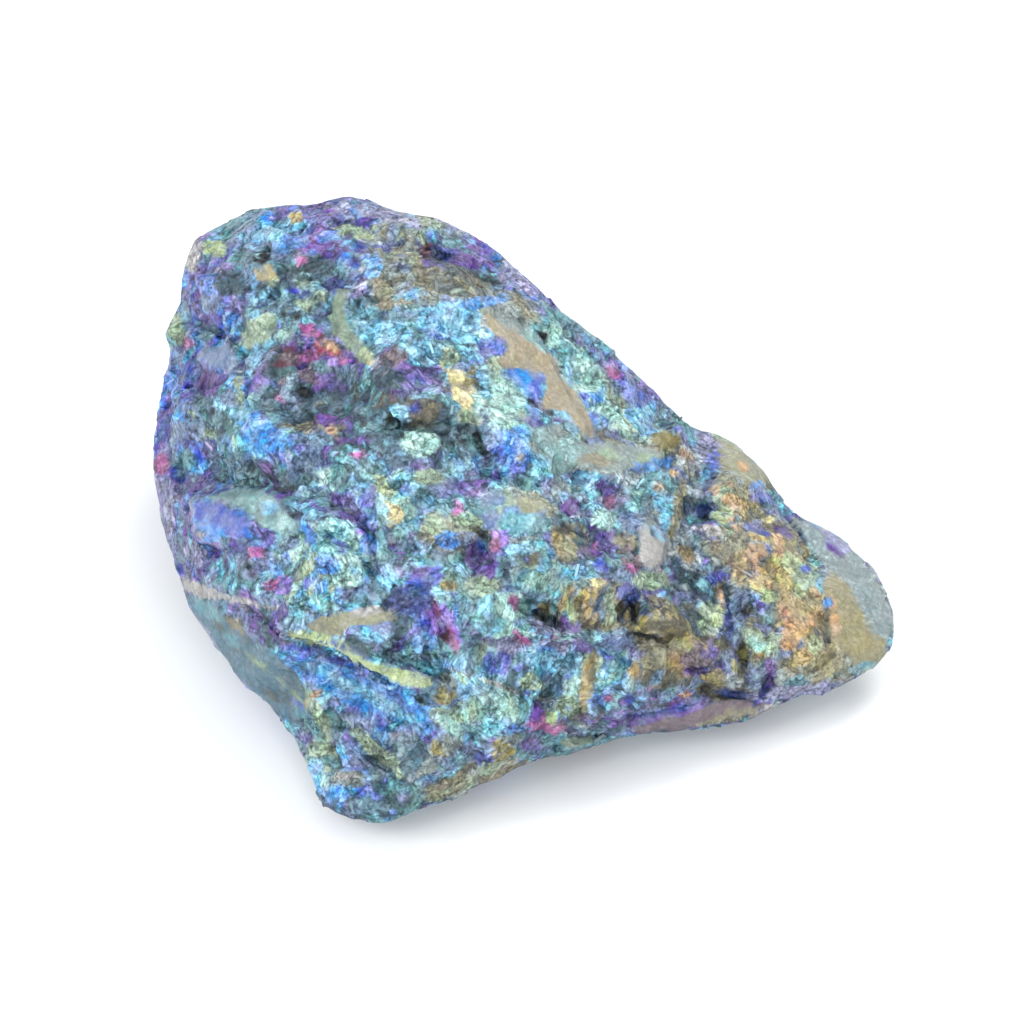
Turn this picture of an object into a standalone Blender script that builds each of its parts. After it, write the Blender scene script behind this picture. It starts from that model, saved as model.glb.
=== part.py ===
"""A rough lump of tarnished copper ore, lying on its flat broken underside."""

import math

import bmesh
import bpy
import numpy as np
from mathutils.geometry import delaunay_2d_cdt
from mathutils.kdtree import KDTree

NAME = "bornite_specimen"
MM = 0.001
SEED = 7

# The stone is read from 45 degrees above, with u to the right and v up across that view.
# z is height above the table, and EYE_LEVEL is the height that the middle of the view has.
VIEW_TILT = math.radians(45)
EYE_LEVEL = 14.0
SIN_TILT = math.sin(VIEW_TILT)
COS_TILT = math.cos(VIEW_TILT)

# Sizes of the working mesh, in mm.
VOXEL = 0.62
RIM_GROWTH = 0.45
SHOULDER_IN = 1.7
SHOULDER_OUT = 2.1
MOST_TRIANGLES = 9400

# Smoothing of the working mesh: how many rounds, and how far each one goes.
BROAD_SMOOTHING = (6, 0.5)
RELIEF_SMOOTHING = (1, 0.35)

# Broken faces all over the stone: how far apart, how long against wide, how high and how tilted.
FACE_SPACING = 6.0
FACE_STRETCH = 1.9
FACE_STEP = 0.36
FACE_TILT = 0.11
CHIP_SPACING = 3.1
CHIP_STEP = 0.12
CHIP_TILT = 0.08
QUIET_SHARE = 0.2
EDGE_WIDTH = 2.6
EDGE_SHARE = 0.1
SOLE_FADE = 1.8
SOLE_LEFT = 0.1
GRID_HALF = (42.0, 40.0, 42.0)
GRID_SHAKE = 0.42

# The relief seen in the view starts on faces turned a little away from it and is soon whole.
FACING_START = 0.1
FACING_GAIN = 2.5

# Where the side of a hollow, knob or quiet face starts, in half widths, and how wide it is.
HOLLOW_SIDE = (1.35, 0.8)
KNOB_SIDE = (1.25, 0.6)
QUIET_SIDE = (1.3, 0.5)

# The ends of a ledge or crevice: what is left at the very end, and how long the fade is.
END_LEFT = 0.2
END_FADE = 1.5

# Joining points into faces: only what lies inside the edge is kept, and closer points are one.
KEEP_INSIDE = 1
ONE_POINT = 1e-5

# Where the edge of the view passes over the stone: (u, v, z), clockwise from the top.
RIM = (
    (-17.0, 31.3, 31.0), (-14.0, 30.5, 31.3), (-11.0, 29.5, 31.5), (-8.0, 28.9, 31.2),
    (-5.0, 27.6, 30.8), (-2.9, 26.4, 30.4), (-1.3, 25.0, 30.0), (1.6, 22.4, 29.2),
    (5.0, 19.0, 27.0), (8.0, 16.8, 24.6), (10.8, 14.3, 22.0), (13.8, 11.4, 19.0),
    (16.0, 9.2, 17.2), (17.9, 8.2, 15.6), (20.0, 7.4, 14.4), (22.2, 6.1, 13.6),
    (24.4, 4.2, 12.8), (25.8, 2.0, 12.0), (26.7, 0.6, 11.2), (29.1, -1.3, 10.2),
    (31.2, -2.1, 9.4), (33.3, -3.6, 8.6), (35.4, -6.0, 7.6), (37.1, -8.8, 6.8),
    (37.8, -11.4, 6.0), (37.4, -14.2, 5.2), (35.9, -16.0, 4.5), (33.3, -17.8, 3.8),
    (30.9, -18.7, 3.4), (28.5, -18.8, 3.2), (25.2, -20.4, 3.0), (22.4, -21.7, 2.9),
    (18.0, -22.3, 2.9), (13.0, -22.5, 3.0), (9.0, -23.5, 3.2), (5.5, -24.5, 3.4),
    (2.4, -24.8, 3.2), (-3.0, -27.3, 2.6), (-6.0, -28.9, 2.5), (-9.4, -29.8, 2.5),
    (-11.0, -30.8, 2.5), (-13.5, -31.2, 2.5), (-16.6, -31.0, 2.6), (-18.8, -30.0, 2.8),
    (-19.9, -28.2, 3.1), (-20.7, -26.0, 3.5), (-21.9, -23.5, 3.8), (-23.4, -21.3, 4.2),
    (-24.7, -19.7, 4.9), (-27.1, -17.9, 5.9), (-29.1, -15.2, 6.6), (-30.8, -12.9, 7.3),
    (-32.8, -10.2, 8.0), (-33.5, -7.8, 8.5), (-34.7, -4.6, 9.0), (-36.0, 0.5, 10.2),
    (-36.7, 4.0, 12.2), (-36.6, 7.0, 13.4), (-35.9, 12.0, 15.2), (-34.8, 15.4, 17.0),
    (-35.2, 17.4, 18.2), (-33.9, 20.6, 20.0), (-33.7, 24.0, 22.2), (-32.6, 26.8, 23.6),
    (-30.3, 28.4, 24.6), (-26.9, 30.0, 26.6), (-24.0, 30.5, 28.2), (-20.5, 30.4, 29.8),
)

# Corners of the broad faces on the side turned to the view: (u, v, z).
FRONT = (
    # the brow along the top
    (-17.0, 27.0, 35.2), (-10.5, 25.5, 35.6), (-6.0, 24.0, 35.4), (-24.5, 27.0, 31.8),
    (-30.0, 23.5, 27.6), (-13.0, 19.0, 35.7), (-20.0, 18.5, 32.9), (-26.0, 18.0, 30.4),
    (-2.8, 18.8, 33.4),
    # the upper left hollow and the shoulder beside it
    (-21.0, 12.5, 30.2), (-17.0, 11.0, 30.8), (-12.0, 12.5, 35.2), (-12.5, 8.6, 34.4),
    (-30.5, 14.0, 25.6), (-27.0, 9.0, 27.2), (-32.8, 8.0, 19.6), (-32.0, 4.0, 18.6),
    (-20.0, 5.0, 29.2), (-24.0, 3.0, 26.2), (-8.0, 6.0, 33.1),
    # the bright plane that falls to the right
    (-4.0, 9.0, 33.2), (3.0, 14.5, 28.2), (3.0, 3.0, 28.6), (9.0, 9.0, 23.6),
    (10.0, 3.5, 23.2), (14.2, 5.4, 20.3), (5.0, -3.0, 25.4), (12.0, -3.0, 21.2),
    # the right end: a saddle, a low dome and the worn tip
    (17.6, 3.0, 17.6), (17.6, -3.0, 17.4), (21.5, 3.0, 16.6), (22.0, -3.5, 16.6),
    (26.3, -2.5, 14.3), (17.5, -9.5, 15.6), (22.5, -10.5, 12.8), (27.5, -9.0, 12.6),
    (30.3, -8.0, 12.1), (30.6, -13.5, 8.9), (34.4, -7.6, 9.6), (34.9, -12.6, 7.2),
    (31.5, -16.0, 6.4), (25.5, -15.0, 10.3), (20.5, -16.0, 10.6),
    # the lower middle, steep and splintery
    (12.0, -8.0, 19.0), (11.0, -12.5, 16.2), (14.5, -15.5, 13.6), (0.0, -5.5, 26.2),
    (0.5, -11.5, 21.2), (6.0, -7.0, 22.8), (7.0, -14.0, 16.6), (5.0, -20.5, 10.4),
    (12.5, -19.6, 9.0), (19.0, -19.4, 7.2), (-3.5, -17.5, 16.4), (-1.0, -22.5, 10.4),
    # the swelling on the left and the ledge under it
    (-12.5, -4.5, 28.2), (-6.5, -1.0, 29.2), (-8.0, -9.5, 24.6), (-18.0, -1.5, 28.2),
    (-19.0, -7.0, 25.4), (-26.5, -3.0, 22.8), (-31.5, -1.5, 16.8), (-28.0, -8.0, 18.2),
    (-31.0, -8.0, 13.6), (-23.3, -11.6, 19.9), (-15.5, -14.8, 20.4), (-9.5, -17.0, 18.6),
    # the blue hollow, the side that falls away at the lower left, and the foot
    (-20.5, -15.2, 16.0), (-13.0, -19.6, 14.4), (-9.0, -21.6, 13.6), (-25.0, -15.6, 12.4),
    (-20.6, -19.6, 10.4), (-19.0, -24.5, 6.4), (-14.5, -24.0, 10.0), (-14.0, -28.4, 6.0),
    (-8.0, -26.4, 8.2),
)

# Corners of the faces that the view doesn't reach: (x, y, z).
BACK = (
    # the rear, steep with one scooped-out face
    (-28.0, 29.5, 16.0), (-20.0, 31.6, 19.0), (-11.0, 28.0, 14.5), (-3.0, 25.8, 18.0),
    (6.0, 21.0, 12.5), (13.0, 16.6, 9.6), (22.0, 10.0, 7.4), (-22.0, 27.5, 7.4),
    (-6.0, 24.5, 6.0), (-32.0, 20.0, 8.6), (-33.6, 8.0, 5.4), (10.0, 14.0, 4.0),
    (30.0, 1.0, 4.0),
    # the underside outside the face it rests on
    (-30.0, 6.0, 3.2), (-27.0, -8.0, 2.6), (-18.0, -23.0, 1.4), (-8.0, -26.0, 1.3),
    (4.0, -20.5, 1.4), (16.0, -14.0, 1.4), (24.0, -10.0, 2.2), (31.0, -8.0, 2.6),
    (22.0, 0.0, 2.2),
    # the face it rests on, a little below the table until it is cut off level
    (-23.0, 12.0, -0.8), (-13.0, 16.5, -1.5), (-3.0, 11.5, -1.5), (6.0, 7.0, -1.2),
    (13.5, -2.0, -0.8), (9.0, -10.0, -1.5), (0.0, -12.0, -1.5), (-9.0, -17.5, -0.9),
    (-17.5, -10.0, -1.5), (-24.0, 0.0, -1.2), (-6.0, 0.0, -1.9),
)

# Steps in the surface: (height, reach, line). The ground on the left of the line stands higher.
LEDGES = (
    (1.25, 2.6, (
        (-24.0, -12.4), (-20.5, -13.3), (-17.5, -14.8), (-14.5, -16.8), (-10.5, -18.2),
    )),
    (0.95, 2.4, ((-14.5, 8.9), (-9.0, 8.3), (-4.2, 8.1))),
    (0.80, 2.0, ((-5.2, 3.9), (-1.0, 3.3), (2.8, 2.5))),
    (0.85, 1.8, ((-1.6, -5.6), (1.2, -6.4), (4.0, -7.2), (7.4, -7.2), (10.0, -6.6))),
    (0.60, 2.0, ((9.6, 3.0), (13.0, 4.3), (17.0, 5.9))),
    (0.75, 2.0, ((-4.6, -12.2), (-2.0, -13.0), (1.4, -13.0), (4.6, -13.3), (8.5, -12.4))),
    (0.70, 2.2, ((-34.0, 15.8), (-30.5, 17.0), (-27.8, 18.2), (-25.6, 21.0), (-22.0, 21.9))),
    (0.60, 1.8, ((-30.0, -8.3), (-25.0, -9.3), (-21.0, -10.6))),
    (0.55, 2.4, (
        (33.2, -16.2), (31.2, -14.2), (30.6, -11.6), (30.8, -9.2), (29.6, -6.0), (28.2, -3.2),
    )),
    (0.55, 1.6, ((-18.6, 28.2), (-16.6, 27.4), (-14.2, 27.6))),
    (0.65, 1.8, ((11.6, -12.5), (13.6, -13.1), (16.0, -12.7))),
    (0.60, 2.0, ((-29.0, -10.2), (-25.6, -13.6), (-22.0, -16.9), (-19.8, -21.0))),
    (0.60, 1.6, ((7.5, 7.0), (4.6, 12.0), (2.6, 15.4), (-0.8, 18.2))),
    (0.50, 1.6, ((-20.5, -16.9), (-18.6, -19.2), (-17.0, -22.6))),
)

# Cracks and crevices: (depth, half width, line).
CREVICES = (
    (1.30, 1.15, (
        (-33.4, 3.7), (-30.0, 3.2), (-25.0, 2.6), (-19.0, 1.4), (-15.6, -2.0), (-14.2, -5.5),
        (-14.5, -7.4),
    )),
    (0.95, 0.85, ((-13.2, -13.6), (-10.0, -15.0), (-6.6, -16.7))),
    (1.00, 1.30, (
        (17.6, 8.4), (17.8, 4.0), (18.3, -0.2), (17.0, -2.8), (16.6, -6.5), (17.7, -11.2),
    )),
    (0.85, 0.80, ((20.4, -7.2), (20.7, -10.0), (21.4, -12.4), (22.2, -16.2))),
    (0.90, 0.75, (
        (10.2, -20.9), (14.0, -20.4), (17.3, -19.4), (19.4, -18.3), (22.4, -18.4), (24.2, -18.6),
        (25.4, -16.6),
    )),
    (0.70, 0.70, ((2.4, -24.0), (5.0, -22.8), (9.2, -22.4))),
    (0.80, 0.70, ((-4.6, 9.0), (-4.2, 7.0), (-3.4, 5.2))),
    (0.85, 0.85, ((-8.4, -8.8), (-7.6, -11.0), (-6.2, -13.6))),
    (0.60, 0.70, ((-3.9, 19.6), (-3.0, 17.0), (-2.6, 14.4))),
    (0.60, 0.70, (
        (3.4, -0.4), (4.8, -2.2), (6.2, -4.2), (9.6, -3.4), (10.6, -0.6), (10.0, 2.0),
    )),
    (0.60, 0.60, ((11.4, -1.8), (11.2, -5.4), (13.0, -7.0))),
    (0.70, 0.70, ((30.4, -10.0), (30.4, -12.0), (31.2, -14.2))),
    (0.60, 0.60, ((26.4, 0.4), (27.8, -1.8), (29.2, -4.2), (31.0, -5.4))),
    (0.65, 0.70, ((-25.0, 12.6), (-22.0, 9.4), (-20.4, 6.6), (-16.6, 6.4))),
    (0.60, 0.60, ((-3.2, -16.6), (0.2, -18.0), (2.6, -19.6), (2.0, -22.0))),
    (0.55, 0.60, ((15.8, -15.4), (18.0, -16.4), (20.4, -14.8))),
)

# Hollows and pits: (u, v, half length, half width, turn in degrees, depth).
HOLLOWS = (
    (-15.8, -18.4, 6.2, 2.0, -31, 1.5),
    (-19.4, 11.2, 3.8, 2.7, 12, 1.1),
    (-8.2, 25.7, 2.2, 1.1, -8, 1.5),
    (-25.6, 25.7, 1.1, 0.9, 0, 1.3),
    (-21.4, 11.5, 1.0, 0.8, 0, 0.8),
    (-3.9, -5.0, 1.3, 2.2, -8, 1.2),
    (-3.6, -2.3, 1.2, 0.8, -40, 0.8),
    (2.3, -10.5, 2.3, 1.1, -18, 2.3),
    (11.4, -10.4, 1.0, 1.7, -12, 1.9),
    (18.0, 0.1, 1.3, 1.2, 0, 1.3),
    (22.4, -10.0, 0.8, 1.2, -20, 1.1),
    (-2.6, -15.2, 1.9, 1.7, 0, 0.9),
    (-14.6, -25.0, 2.6, 1.3, -30, 1.0),
    (-30.6, 4.8, 2.8, 1.3, -8, 0.9),
    (-31.6, 18.2, 2.4, 0.9, -22, 0.8),
    (-10.6, -8.8, 2.2, 1.4, 20, 1.0),
    (-2.4, 6.0, 1.0, 1.4, 0, 0.5),
    (19.2, -7.0, 3.2, 2.0, -60, 0.9),
    (23.4, -14.4, 2.6, 1.6, 80, 0.7),
    (8.0, -10.4, 3.2, 2.4, 0, 0.7),
    (-18.4, 22.4, 1.6, 0.9, 0, 0.6),
    (-9.5, -18.6, 1.0, 0.7, 0, 0.7),
    (4.6, -16.8, 2.0, 2.6, 10, 0.5),
)

# Knobs and grains that stand out: (u, v, half length, half width, turn in degrees, height).
KNOBS = (
    (14.2, -11.3, 3.4, 1.3, -8, 1.1),
    (12.0, -11.0, 1.2, 1.1, 0, 0.6),
    (13.2, -3.9, 1.9, 2.4, 12, 0.9),
    (14.6, 6.9, 1.5, 1.1, 0, 0.7),
    (-25.4, 23.9, 1.5, 1.2, 0, 1.0),
    (-7.2, -18.2, 1.3, 1.1, 0, 0.7),
    (-7.9, -23.2, 1.1, 1.0, 0, 0.6),
    (-1.6, -23.4, 1.4, 1.3, 0, 0.7),
    (8.3, -0.9, 1.5, 1.4, 0, 0.7),
    (-9.7, 6.5, 2.1, 1.3, 0, 0.8),
    (-18.2, -3.2, 2.9, 2.4, -10, 0.9),
    (-0.6, 6.3, 2.2, 2.0, 0, 0.8),
    (-29.6, -1.2, 3.4, 2.4, -18, 0.9),
    (-17.0, 18.6, 1.1, 3.4, 28, 0.7),
    (-12.3, 0.3, 2.1, 1.6, -20, 0.7),
    (-10.4, 26.8, 1.5, 0.8, -10, 0.7),
    (-26.6, 18.8, 1.0, 2.6, 30, 0.5),
    (18.7, -2.2, 1.7, 0.9, -20, 0.6),
    (24.9, -0.9, 1.3, 1.0, 0, 0.5),
    (28.0, -11.2, 2.0, 2.4, 0, 0.6),
    (22.8, 1.2, 2.6, 1.4, -30, 0.6),
    (-30.6, 26.2, 1.9, 1.0, -15, 0.6),
    (-32.4, 9.4, 1.5, 2.2, 10, 0.7),
    (-5.6, -6.4, 1.4, 1.2, 0, 0.5),
    (-6.2, 13.2, 0.9, 3.2, -28, 0.6),
    (6.4, -16.4, 0.8, 2.8, 10, 0.6),
    (19.6, -16.8, 1.3, 1.1, -30, 0.7),
    (7.4, 1.6, 2.4, 1.2, 20, 0.5),
    (-35.0, 17.4, 1.3, 1.1, 0, 0.6),
    (-24.4, 7.0, 1.8, 2.0, 0, 0.5),
    (-12.0, -23.6, 2.4, 1.2, 30, 0.6),
    (2.4, -10.0, 0.7, 0.7, 0, 0.9),
)

# Faces that stay nearly smooth: (u, v, half length, half width, turn in degrees).
QUIET = (
    (2.2, 13.6, 7.6, 2.4, -52),
    (9.4, 5.2, 5.6, 1.5, -4),
    (-1.2, -0.2, 3.8, 2.2, -4),
    (33.6, -10.6, 2.8, 6.2, 14),
    (30.8, -3.2, 4.2, 1.5, -36),
    (22.2, 4.6, 3.4, 2.0, -45),
    (-27.4, -14.6, 6.4, 2.0, -40),
    (-5.4, 22.6, 4.4, 1.8, -38),
    (-30.6, 15.2, 2.2, 1.2, 0),
    (-29.6, -1.0, 3.4, 1.6, -14),
    (-17.2, -10.8, 4.2, 1.0, 4),
    (18.0, -20.2, 6.4, 1.1, 8),
)


def seen(points):
    """How far right and how far up each point lies in the view."""
    up = points[:, 1] * SIN_TILT + (points[:, 2] - EYE_LEVEL) * COS_TILT
    return np.stack([points[:, 0], up], axis=1)


def placed(u, v, z):
    """The point of height z that the view shows at (u, v)."""
    y = (v - (z - EYE_LEVEL) * COS_TILT) / SIN_TILT
    return (u, y, z)


def nearness(u, v, z):
    """How far a point lies towards the eye."""
    y = placed(u, v, z)[1]
    return (z - EYE_LEVEL) * SIN_TILT - y * COS_TILT


def height_at(u, v, near):
    """The height of the point seen at (u, v) that lies this far towards the eye."""
    return EYE_LEVEL + near * SIN_TILT + v * COS_TILT


def rim_points():
    """The edge of the view, pushed out a little for what smoothing takes off."""
    middle = np.array([(u, v) for u, v, _ in RIM]).mean(axis=0)
    grown = []
    for u, v, z in RIM:
        away = np.array((u, v)) - middle
        out = away / np.linalg.norm(away) * RIM_GROWTH
        grown.append((u + out[0], v + out[1], z))
    return grown


def shoulders(rim, towards):
    """A ring just inside the edge that rounds it, on the near side or the far side."""
    ring = []
    count = len(rim)
    for i, (u, v, z) in enumerate(rim):
        before, after = rim[i - 1], rim[(i + 1) % count]
        along = np.array((after[0] - before[0], after[1] - before[1]))
        along /= np.linalg.norm(along)
        inward = np.array((along[1], -along[0])) * SHOULDER_IN
        near = nearness(u, v, z) + towards * SHOULDER_OUT
        spot = (u + inward[0], v + inward[1])
        ring.append((spot[0], spot[1], height_at(spot[0], spot[1], near)))
    return ring[::2]


def sheet(mesh, rim, rim_verts, inner, facing):
    """Faces over the view's plane between the edge and the inner points."""
    flat = [(u, v) for u, v, _ in rim + inner]
    count = len(rim)
    edges = [(i, (i + 1) % count) for i in range(count)]
    result = delaunay_2d_cdt(flat, edges, [], KEEP_INSIDE, ONE_POINT)
    verts = rim_verts + [mesh.verts.new(placed(u, v, z)) for u, v, z in inner]
    for face in result[2]:
        corners = [verts[result[3][i][0]] for i in face]
        mesh.faces.new(corners if facing > 0 else corners[::-1])


def cage():
    """The broad faces of the whole stone, as one closed mesh."""
    mesh = bmesh.new()
    rim = rim_points()
    rim_verts = [mesh.verts.new(placed(u, v, z)) for u, v, z in rim]
    hidden = [(p[0], seen(np.array([p]))[0][1], p[2]) for p in BACK]
    sheet(mesh, rim, rim_verts, shoulders(rim, 1) + list(FRONT), 1)
    sheet(mesh, rim, rim_verts, shoulders(rim, -1) + hidden, -1)
    bmesh.ops.recalc_face_normals(mesh, faces=mesh.faces)
    return mesh


def evaluated(name, source, kind, **settings):
    """The mesh that one modifier makes from this mesh."""
    holder = bpy.data.objects.new(name, source)
    bpy.context.scene.collection.objects.link(holder)
    modifier = holder.modifiers.new(kind.title(), kind)
    for key, value in settings.items():
        setattr(modifier, key, value)
    graph = bpy.context.evaluated_depsgraph_get()
    made = bpy.data.meshes.new_from_object(holder.evaluated_get(graph))
    bpy.data.objects.remove(holder)
    return made


def coordinates(mesh):
    flat = np.empty(len(mesh.vertices) * 3)
    mesh.vertices.foreach_get("co", flat)
    return flat.reshape(-1, 3)


def normals(mesh):
    flat = np.empty(len(mesh.vertices) * 3)
    mesh.vertices.foreach_get("normal", flat)
    return flat.reshape(-1, 3)


def move_to(mesh, points):
    mesh.vertices.foreach_set("co", points.reshape(-1))
    mesh.update()


def smoothed(mesh, points, rounds, share):
    """The points drawn part of the way to the middle of their neighbours."""
    ends = np.array([edge.vertices[:] for edge in mesh.edges])
    count = np.bincount(ends.reshape(-1), minlength=len(points))[:, None]
    for _ in range(rounds):
        total = np.zeros_like(points)
        np.add.at(total, ends[:, 0], points[ends[:, 1]])
        np.add.at(total, ends[:, 1], points[ends[:, 0]])
        points = points + (total / count - points) * share
    return points


def rise(x):
    """0 to 1 with level ends."""
    x = np.clip(x, 0, 1)
    return x * x * (3 - 2 * x)


def from_line(spots, line):
    """Each spot's distance to a broken line, its side (1 is left) and a fade at the two ends."""
    line = np.array(line)
    lengths = np.linalg.norm(np.diff(line, axis=0), axis=1)
    starts = np.concatenate([[0], np.cumsum(lengths)])
    best = np.full(len(spots), np.inf)
    side = np.ones(len(spots))
    along = np.zeros(len(spots))
    for i, length in enumerate(lengths):
        way = (line[i + 1] - line[i]) / length
        rest = spots - line[i]
        t = np.clip(rest @ way, 0, length)
        gap = rest - t[:, None] * way
        distance = np.linalg.norm(gap, axis=1)
        closer = distance < best
        best[closer] = distance[closer]
        side[closer] = np.sign(way[0] * rest[closer, 1] - way[1] * rest[closer, 0])
        along[closer] = starts[i] + t[closer]
    fade = rise(along / END_FADE + END_LEFT)
    fade *= rise((starts[-1] - along) / END_FADE + END_LEFT)
    return best, side, fade


def from_oval(spots, u, v, long, wide, turn):
    """Each spot's distance from the middle of an oval, where 1 is its edge."""
    angle = math.radians(turn)
    rest = spots - (u, v)
    a = (rest[:, 0] * math.cos(angle) + rest[:, 1] * math.sin(angle)) / long
    b = (rest[:, 1] * math.cos(angle) - rest[:, 0] * math.sin(angle)) / wide
    return np.hypot(a, b)


def inside(spots, oval, side):
    """1 inside an oval and 0 beyond its side."""
    start, width = side
    return rise((start - from_oval(spots, *oval)) / width)


def front_relief(spots):
    """Steps, crevices, hollows and knobs that the view shows."""
    total = np.zeros(len(spots))
    for height, reach, line in LEDGES:
        distance, side, fade = from_line(spots, line)
        shape = np.exp(-((distance / reach) ** 2))
        total += np.where(side > 0, height, -height) / 2 * shape * fade
    for depth, half_width, line in CREVICES:
        distance, _, fade = from_line(spots, line)
        total -= depth * rise(1 - distance / (2 * half_width)) * fade
    for *oval, depth in HOLLOWS:
        total -= depth * inside(spots, oval, HOLLOW_SIDE)
    for *oval, height in KNOBS:
        total += height * inside(spots, oval, KNOB_SIDE)
    return total


def spread(points, spacing, rng):
    """A shaken grid of spots through the stone, those too deep inside or too far out left off."""
    counts = [round(2 * half / spacing) + 1 for half in GRID_HALF]
    grid = np.stack(np.meshgrid(*map(np.arange, counts), indexing="ij"), axis=-1).reshape(-1, 3)
    spots = (grid - (np.array(counts) - 1) / 2) * spacing
    spots += rng.uniform(-GRID_SHAKE, GRID_SHAKE, spots.shape) * spacing
    tree = KDTree(len(points))
    for i, point in enumerate(points):
        tree.insert(point, i)
    tree.balance()
    return np.array([spot for spot in spots if tree.find(spot)[2] < spacing])


def broken_faces(points, spacing, stretch, step, tilt, rng):
    """Offsets that split the surface into many small planes with steps between them."""
    seeds = spread(points, spacing, rng)
    axes = rng.normal(size=(len(seeds), 3))
    axes /= np.linalg.norm(axes, axis=1)[:, None]
    slopes = rng.normal(size=(len(seeds), 3)) * tilt
    steps = rng.uniform(-step, step, len(seeds))
    best = np.full(len(points), np.inf)
    offset = np.zeros(len(points))
    for seed, axis, slope, lift in zip(seeds, axes, slopes, steps):
        rest = points - seed
        long = rest @ axis
        distance = (rest**2).sum(axis=1) - (1 - 1 / stretch**2) * long**2
        closer = distance < best
        best[closer] = distance[closer]
        offset[closer] = lift + rest[closer] @ slope
    return offset


def stone_mesh():
    rough = bpy.data.meshes.new("broad_faces")
    broad = cage()
    broad.to_mesh(rough)
    broad.free()
    fine = evaluated("broad", rough, "REMESH", mode="VOXEL", voxel_size=VOXEL)
    move_to(fine, smoothed(fine, coordinates(fine), *BROAD_SMOOTHING))
    points, out = coordinates(fine), normals(fine)
    turned = out @ np.array((0, -COS_TILT, SIN_TILT))
    facing = rise(turned * FACING_GAIN + FACING_START)
    spots = seen(points)
    loop = [(u, v) for u, v, _ in RIM + RIM[:1]]
    edge = 1 - rise(from_line(spots, loop)[0] / EDGE_WIDTH)
    quiet = np.zeros(len(points))
    for oval in QUIET:
        quiet = np.maximum(quiet, inside(spots, oval, QUIET_SIDE) * facing)
    rng = np.random.default_rng(SEED)
    large = broken_faces(points, FACE_SPACING, FACE_STRETCH, FACE_STEP, FACE_TILT, rng)
    small = broken_faces(points, CHIP_SPACING, FACE_STRETCH, CHIP_STEP, CHIP_TILT, rng)
    roughness = (1 - quiet * (1 - QUIET_SHARE)) * (1 - edge * (1 - EDGE_SHARE))
    roughness *= rise(points[:, 2] / SOLE_FADE + SOLE_LEFT)
    offset = front_relief(spots) * facing + (large + small) * roughness
    points = points + out * offset[:, None]
    move_to(fine, smoothed(fine, points, *RELIEF_SMOOTHING))
    share = MOST_TRIANGLES / (2 * len(fine.polygons))
    return evaluated("fine", fine, "DECIMATE", ratio=share)


def cut_level(mesh):
    """Everything under the table taken off, which leaves the flat face the stone rests on."""
    work = bmesh.new()
    work.from_mesh(mesh)
    everything = work.verts[:] + work.edges[:] + work.faces[:]
    bmesh.ops.bisect_plane(
        work, geom=everything, plane_co=(0, 0, 0), plane_no=(0, 0, 1), clear_inner=True
    )
    rim = [edge for edge in work.edges if edge.is_boundary]
    bmesh.ops.holes_fill(work, edges=rim, sides=0)
    bmesh.ops.triangulate(work, faces=work.faces)
    work.to_mesh(mesh)
    work.free()


def ore_material():
    material = bpy.data.materials.new("tarnished_ore")
    material.use_nodes = True
    shader = material.node_tree.nodes["Principled BSDF"]
    shader.inputs["Base Color"].default_value = (0.18, 0.31, 0.42, 1)
    shader.inputs["Metallic"].default_value = 0.55
    shader.inputs["Roughness"].default_value = 0.42
    return material


def main():
    for old in list(bpy.data.objects):
        bpy.data.objects.remove(old)
    mesh = stone_mesh()
    cut_level(mesh)
    points = coordinates(mesh)
    low, high = points.min(axis=0), points.max(axis=0)
    middle = (low + high) / 2
    middle[2] = 0
    move_to(mesh, (points - middle) * MM)
    mesh.name = NAME
    stone = bpy.data.objects.new(NAME, mesh)
    mesh.materials.clear()
    mesh.materials.append(ore_material())
    group = bpy.data.collections.new(NAME)
    bpy.context.scene.collection.children.link(group)
    group.objects.link(stone)


main()
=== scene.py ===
"""A lump of tarnished copper ore, with its bladed crystals and iridescent film, on a pale table."""

import math

import bmesh
import bpy
import numpy as np
from mathutils import Matrix, Vector, noise


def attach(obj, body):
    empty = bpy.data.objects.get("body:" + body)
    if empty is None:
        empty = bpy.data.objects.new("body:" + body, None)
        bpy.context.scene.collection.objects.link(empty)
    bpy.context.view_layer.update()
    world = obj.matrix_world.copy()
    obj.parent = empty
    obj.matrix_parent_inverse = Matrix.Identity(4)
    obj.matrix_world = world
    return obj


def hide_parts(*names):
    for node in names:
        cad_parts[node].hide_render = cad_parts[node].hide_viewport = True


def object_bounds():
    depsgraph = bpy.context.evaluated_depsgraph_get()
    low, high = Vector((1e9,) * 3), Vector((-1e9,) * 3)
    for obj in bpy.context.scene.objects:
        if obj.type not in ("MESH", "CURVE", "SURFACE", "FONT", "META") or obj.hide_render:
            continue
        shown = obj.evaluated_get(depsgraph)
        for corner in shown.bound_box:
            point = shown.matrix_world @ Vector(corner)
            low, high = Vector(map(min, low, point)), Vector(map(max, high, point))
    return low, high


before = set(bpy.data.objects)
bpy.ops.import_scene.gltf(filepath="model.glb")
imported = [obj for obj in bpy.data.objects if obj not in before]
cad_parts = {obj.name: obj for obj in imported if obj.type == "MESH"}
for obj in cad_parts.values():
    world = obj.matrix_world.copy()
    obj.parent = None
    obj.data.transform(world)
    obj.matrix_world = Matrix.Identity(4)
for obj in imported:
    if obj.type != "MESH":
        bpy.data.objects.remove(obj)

NODE = "bornite_specimen"
SLOT = "tarnished_ore"
MM = 0.001

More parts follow.
